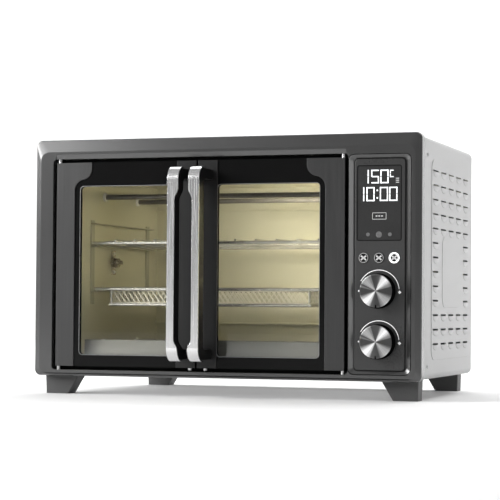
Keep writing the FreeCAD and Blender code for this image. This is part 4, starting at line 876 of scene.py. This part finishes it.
def make_basket_net():
    """The basket's net: wires that cross aslant in its floor and its four walls."""
    low, high = span("basket_mesh")
    low, high = low + Vector((0.6, 0.6, 0.6)), high - Vector((0.6, 0.6, 0.6))
    shape = bmesh.new()
    for y, inward in ((low.y, 0.6), (high.y, -0.6)):
        x = low.x
        while x + NET_LEAN <= high.x:
            add_strand(shape, (x, y + inward, low.z), (x + NET_LEAN, y + inward, high.z), NET_FINE)
            add_strand(shape, (x + NET_LEAN, y, low.z), (x, y, high.z), NET_COARSE)
            x += NET_STEP
    for x, inward in ((low.x, NET_APART), (high.x, -NET_APART)):
        y = low.y
        while y + NET_LEAN <= high.y:
            add_strand(shape, (x, y, low.z), (x, y + NET_LEAN, high.z), NET_WIRE)
            add_strand(shape, (x + inward, y + NET_LEAN, low.z), (x + inward, y, high.z), NET_WIRE)
            y += NET_STEP
    wide, deep = high.x - low.x, high.y - low.y
    reach = NET_STEP
    while reach < wide + deep:
        begin, end = max(0.0, reach - deep), min(wide, reach)
        add_strand(shape, (low.x + begin, low.y + reach - begin, low.z),
                   (low.x + end, low.y + reach - end, low.z), NET_WIRE)
        add_strand(shape, (high.x - begin, low.y + reach - begin, low.z + NET_APART),
                   (high.x - end, low.y + reach - end, low.z + NET_APART), NET_WIRE)
        reach += NET_STEP
    for z in (low.z, high.z):
        for y in (low.y, high.y):
            add_strand(shape, (low.x - 0.4, y, z), (high.x + 0.4, y, z), NET_RIM)
        for x in (low.x, high.x):
            add_strand(shape, (x, low.y, z), (x, high.y, z), NET_RIM)
    add_piece("basket_net", shape, "oven", net_wire, ["basket_mesh"])


# Depth and height of each heating tube.
TUBE_ENDS = ((95, 272), (215, 272), (95, 68), (215, 68))
# Across, depth, radius and height of each capacitor on the power board.
CAPACITORS = ((178, 232, 4, 16), (206, 235, 3.2, 12), (222, 232, 5, 20), (246, 232, 3.2, 12))
# Where the board's surface lies above its lowest point, and its heat sink.
BOARD_RISE = 7.6
FINS, FIN_X, FIN_STEP, SINK_X, SINK_Y = 7, 184, 2.4, 191.2, 276


def add_can(shape, low, radius, tall, axis="Z"):
    """A round can with a soft rim, standing along Z or lying along X from a place in millimetres."""
    lying = axis == "X"
    turn = Matrix.Rotation(math.pi / 2, 4, "Y") if lying else Matrix.Identity(4)
    rise = Vector((tall / 2, 0, 0)) if lying else Vector((0, 0, tall / 2))
    place_at = Matrix.Translation(at(*(Vector(low) + rise))) @ turn
    made = bmesh.ops.create_cone(shape, cap_ends=True, segments=24, radius1=radius * MM,
                                 radius2=radius * MM, depth=tall * MM, matrix=place_at)
    rims = [edge for edge in edges_of(made["verts"])
            if max(len(face.verts) for face in edge.link_faces) > 4]
    round_off(shape, rims, min(0.6, radius * 0.2), 2)


def make_inner_parts():
    """Small parts inside: capacitors and a heat sink on the board, and collars on the tubes."""
    top = span("power_board")[0].z + BOARD_RISE
    shape = bmesh.new()
    for x, y, radius, tall in CAPACITORS:
        add_can(shape, (x, y, top), radius, tall)
    add_piece("board_capacitors", shape, "oven", black_nylon)
    shape = bmesh.new()
    for n in range(FINS):
        add_block(shape, (FIN_X + FIN_STEP * n, SINK_Y, top + 9), (0.9, 14, 18), 0.2)
    add_block(shape, (SINK_X, SINK_Y, top + 1.2), (17, 14, 2.4), 0.3)
    add_piece("board_heat_sink", shape, "oven", sheet_zinc)
    low, high = span("heating_tubes")
    shape = bmesh.new()
    for y, z in TUBE_ENDS:
        for x in (low.x + 0.7, high.x - 4.2):
            add_can(shape, (x, y, z), 6.0, 3.5, axis="X")
    add_piece("tube_collars", shape, "oven", ceramic)


def make_screw_mesh(radius, height):
    """A low domed screw head with a sunk cross, standing on the ground plane."""
    shape = bmesh.new()
    bmesh.ops.create_circle(shape, cap_ends=True, segments=20, radius=radius * MM)
    top = shape.faces[:][0]
    for rise, share in ((0.5, 1.0), (0.3, 0.92), (0.2, 0.82)):
        grown = bmesh.ops.extrude_face_region(shape, geom=[top])["geom"]
        verts = moved_verts(grown)
        bmesh.ops.translate(shape, verts=verts, vec=(0, 0, rise * height * MM))
        bmesh.ops.scale(shape, verts=verts, vec=(share, share, 1))
        top = next(item for item in grown if isinstance(item, bmesh.types.BMFace))
    loop = list(top.edges)
    level = top.verts[0].co.z
    bmesh.ops.delete(shape, geom=[top], context="FACES_ONLY")
    arm, thin = 0.52 * radius * MM, 0.13 * radius * MM
    corners = ((arm, -thin), (arm, thin), (thin, thin), (thin, arm), (-thin, arm), (-thin, thin),
               (-arm, thin), (-arm, -thin), (-thin, -thin), (-thin, -arm), (thin, -arm), (thin, -thin))
    verts = [shape.verts.new((x, y, level)) for x, y in corners]
    cross = [shape.edges.new(pair) for pair in zip(verts, verts[1:] + verts[:1])]
    bmesh.ops.triangle_fill(shape, use_beauty=True, edges=loop + cross, normal=(0, 0, 1))
    inside = [face for face in shape.faces if all(vert in verts for vert in face.verts)]
    bmesh.ops.delete(shape, geom=inside, context="FACES_ONLY")
    sunk = bmesh.ops.extrude_edge_only(shape, edges=cross)["geom"]
    bmesh.ops.translate(shape, verts=moved_verts(sunk), vec=(0, 0, -0.55 * height * MM))
    open_edges = [item for item in sunk if isinstance(item, bmesh.types.BMEdge) and item.is_boundary]
    bmesh.ops.holes_fill(shape, edges=open_edges)
    bmesh.ops.recalc_face_normals(shape, faces=shape.faces)
    mesh = bpy.data.meshes.new("screw_head")
    shape.to_mesh(mesh)
    shape.free()
    return mesh


# Heights and places of the screws: the rear rim, the front corners of the sides, the probe's flange.
REAR_SCREWS_X, REAR_SCREWS_Z = (-256, 256), (44, 136, 228, 320)
SIDE_SCREWS_Y, SIDE_SCREWS_Z = 46, (44, 319)
PROBE_Y, PROBE_SPREAD = 128, 13


def make_screws():
    """Cross-recessed heads at the rear rim, the front corners of both sides and the probe's flange."""
    shape = bmesh.new()
    to_rear = Matrix.Rotation(-math.pi / 2, 4, "X")
    to_right = Matrix.Rotation(math.pi / 2, 4, "Y")
    to_left = Matrix.Rotation(-math.pi / 2, 4, "Y")
    back = span("rear_panel")[1].y
    loose_copies(shape, make_screw_mesh(3, 1.5), [
        Matrix.Translation(at(x, back, z)) @ to_rear for x in REAR_SCREWS_X for z in REAR_SCREWS_Z
    ])
    wall = span("outer_case")[1].x - 1.2
    loose_copies(shape, make_screw_mesh(2.6, 1.15), [
        Matrix.Translation(at(x, SIDE_SCREWS_Y, z)) @ turn
        for x, turn in ((wall, to_right), (-wall, to_left)) for z in SIDE_SCREWS_Z
    ])
    low, high = span("temperature_probe")
    middle = (low.z + high.z) / 2
    loose_copies(shape, make_screw_mesh(2.4, 1.6), [
        Matrix.Translation(at(low.x + 1.5, PROBE_Y, middle + rise)) @ to_right
        for rise in (-PROBE_SPREAD, PROBE_SPREAD)
    ])
    add_piece("cross_head_screws", shape, "oven", plain_steel, ["panel_screws"])


make_display()
make_key_marks()
make_dial_marks()
for side in ("left", "right"):
    make_window_beads(side)
make_seal_and_shade_lines()
make_hoods()
for dial in ("upper", "lower"):
    make_cap(dial)
make_basket_net()
make_inner_parts()
make_screws()


# ---------------------------------------------------------------- floor, light and camera

# The floor in metres: its front edge, where it starts to bend up, the bend, its top and half width.
FLOOR_FRONT, FLOOR_BACK, FLOOR_BEND, FLOOR_TOP, FLOOR_HALF = -6.0, 4.0, 1.2, 7.0, 9.0
BEND_STEPS = 12


def make_floor():
    """A pale floor that curves up into the backdrop."""
    shape = bmesh.new()
    profile = [(FLOOR_FRONT, 0.0), (FLOOR_BACK, 0.0)]
    for n in range(1, BEND_STEPS + 1):
        angle = math.pi / 2 * n / BEND_STEPS
        profile.append((FLOOR_BACK + FLOOR_BEND * math.sin(angle),
                        FLOOR_BEND * (1 - math.cos(angle))))
    profile.append((FLOOR_BACK + FLOOR_BEND, FLOOR_TOP))
    verts = [shape.verts.new((-FLOOR_HALF, y, z)) for y, z in profile]
    edges = [shape.edges.new(pair) for pair in zip(verts, verts[1:])]
    swept = bmesh.ops.extrude_edge_only(shape, edges=edges)
    bmesh.ops.translate(shape, verts=moved_verts(swept["geom"]), vec=(2 * FLOOR_HALF, 0, 0))
    mesh = bpy.data.meshes.new("studio_floor")
    shape.to_mesh(mesh)
    shape.free()
    item = bpy.data.objects.new("studio_floor", mesh)
    for face in mesh.polygons:
        face.use_smooth = True
    mesh.materials.append(finish("pale_paper", grey(0.90), 0.9, variation=0.01, patch=2.0, wear=0.0))
    scene.collection.objects.link(item)


def add_light(name, position, target, size, power, tint=(1, 1, 1)):
    """A soft rectangular light aimed at a target, in metres."""
    data = bpy.data.lights.new(name, "AREA")
    data.shape = "RECTANGLE"
    data.size, data.size_y = size
    data.energy = power
    data.color = tint
    item = bpy.data.objects.new(name, data)
    item.location = position
    item.rotation_euler = (Vector(target) - Vector(position)).to_track_quat("-Z", "Y").to_euler()
    scene.collection.objects.link(item)
    return item


# Name, position, target, size and power of each studio light, in metres and watts.
STUDIO_LIGHTS = (
    ("left_soft_box", (-2.15, -1.6, 1.3), (0, 0, 0.2), (0.9, 1.8), 80),
    ("front_card", (-2.2, -2.8, 1.4), (0, 0, 0.2), (1.3, 1.3), 30),
    ("right_front_card", (1.9, -1.9, 0.7), (0.2, -0.1, 0.2), (0.45, 1.6), 7),
    ("rear_overhead", (0.3, 1.2, 2.6), (0.1, 0, 0.1), (3.0, 1.6), 42),
    ("backdrop_light", (0, 1.6, 3.0), (0, 4.5, 0.8), (5.0, 1.0), 225),
)


def make_lights():
    """Studio lights, a faint glow off the floor under the oven, and the lamp's in the cavity."""
    for light in STUDIO_LIGHTS:
        add_light(*light)
    under = add_light("floor_bounce", at(0, 170, 24), at(0, 170, 0), (0.44, 0.27), 0.10)
    glow = add_light("cavity_glow", at(84, 120, 276), at(100, 296, 212), (0.10, 0.09), 1.55, CREAM)
    for hidden in (under, glow):
        hidden.visible_camera = hidden.visible_transmission = hidden.visible_glossy = False


# Strength of the room's light from the front, and from above and behind.
DIM_AIR, BRIGHT_AIR = 0.10, 0.42


def make_air():
    """The room: bright above and behind, dim in front, so that glossy faces keep their contrast."""
    world = bpy.data.worlds.new("studio_air")
    scene.world = world
    world.use_nodes = True
    tree = world.node_tree
    bright = add(tree, "VectorMath", operation="DOT_PRODUCT")
    bright.inputs[1].default_value = (0, 0.6, 0.8)
    tree.links.new(add(tree, "TexCoord").outputs["Generated"], bright.inputs[0])
    strength = add(tree, "MapRange")
    for label, value in (("From Min", -0.45), ("From Max", 0.45), ("To Min", DIM_AIR),
                         ("To Max", BRIGHT_AIR)):
        strength.inputs[label].default_value = value
    tree.links.new(bright.outputs["Value"], strength.inputs["Value"])
    tree.nodes["Background"].inputs["Color"].default_value = (1, 1, 1, 1)
    tree.links.new(strength.outputs["Result"], tree.nodes["Background"].inputs["Strength"])


# Where the camera stands in millimetres, how it is turned in degrees, and its lens and film width.
CAMERA_PLACE = (822.7, -2297.4, 117.2)
YAW, PITCH, ROLL = 18.81, 1.82, 0.41
LENS, FILM = 133.4, 36


def make_camera():
    """A long lens a little right of the front, close to the floor."""
    yaw, pitch, roll = (math.radians(angle) for angle in (YAW, PITCH, ROLL))
    level = Vector((-math.sin(yaw), math.cos(yaw), 0))
    ahead = math.cos(pitch) * level + Vector((0, 0, math.sin(pitch)))
    right = ahead.cross(Vector((0, 0, 1))).normalized()
    up = right.cross(ahead)
    turned_right = math.cos(roll) * right + math.sin(roll) * up
    turned_up = -math.sin(roll) * right + math.cos(roll) * up
    data = bpy.data.cameras.new("studio_camera")
    data.lens, data.sensor_width = LENS, FILM
    data.clip_end = 60
    item = bpy.data.objects.new("studio_camera", data)
    pose = Matrix((turned_right, turned_up, -ahead)).transposed().to_4x4()
    pose.translation = at(*CAMERA_PLACE)
    item.matrix_world = pose
    scene.collection.objects.link(item)
    scene.camera = item


make_floor()
make_lights()
make_air()
make_camera()
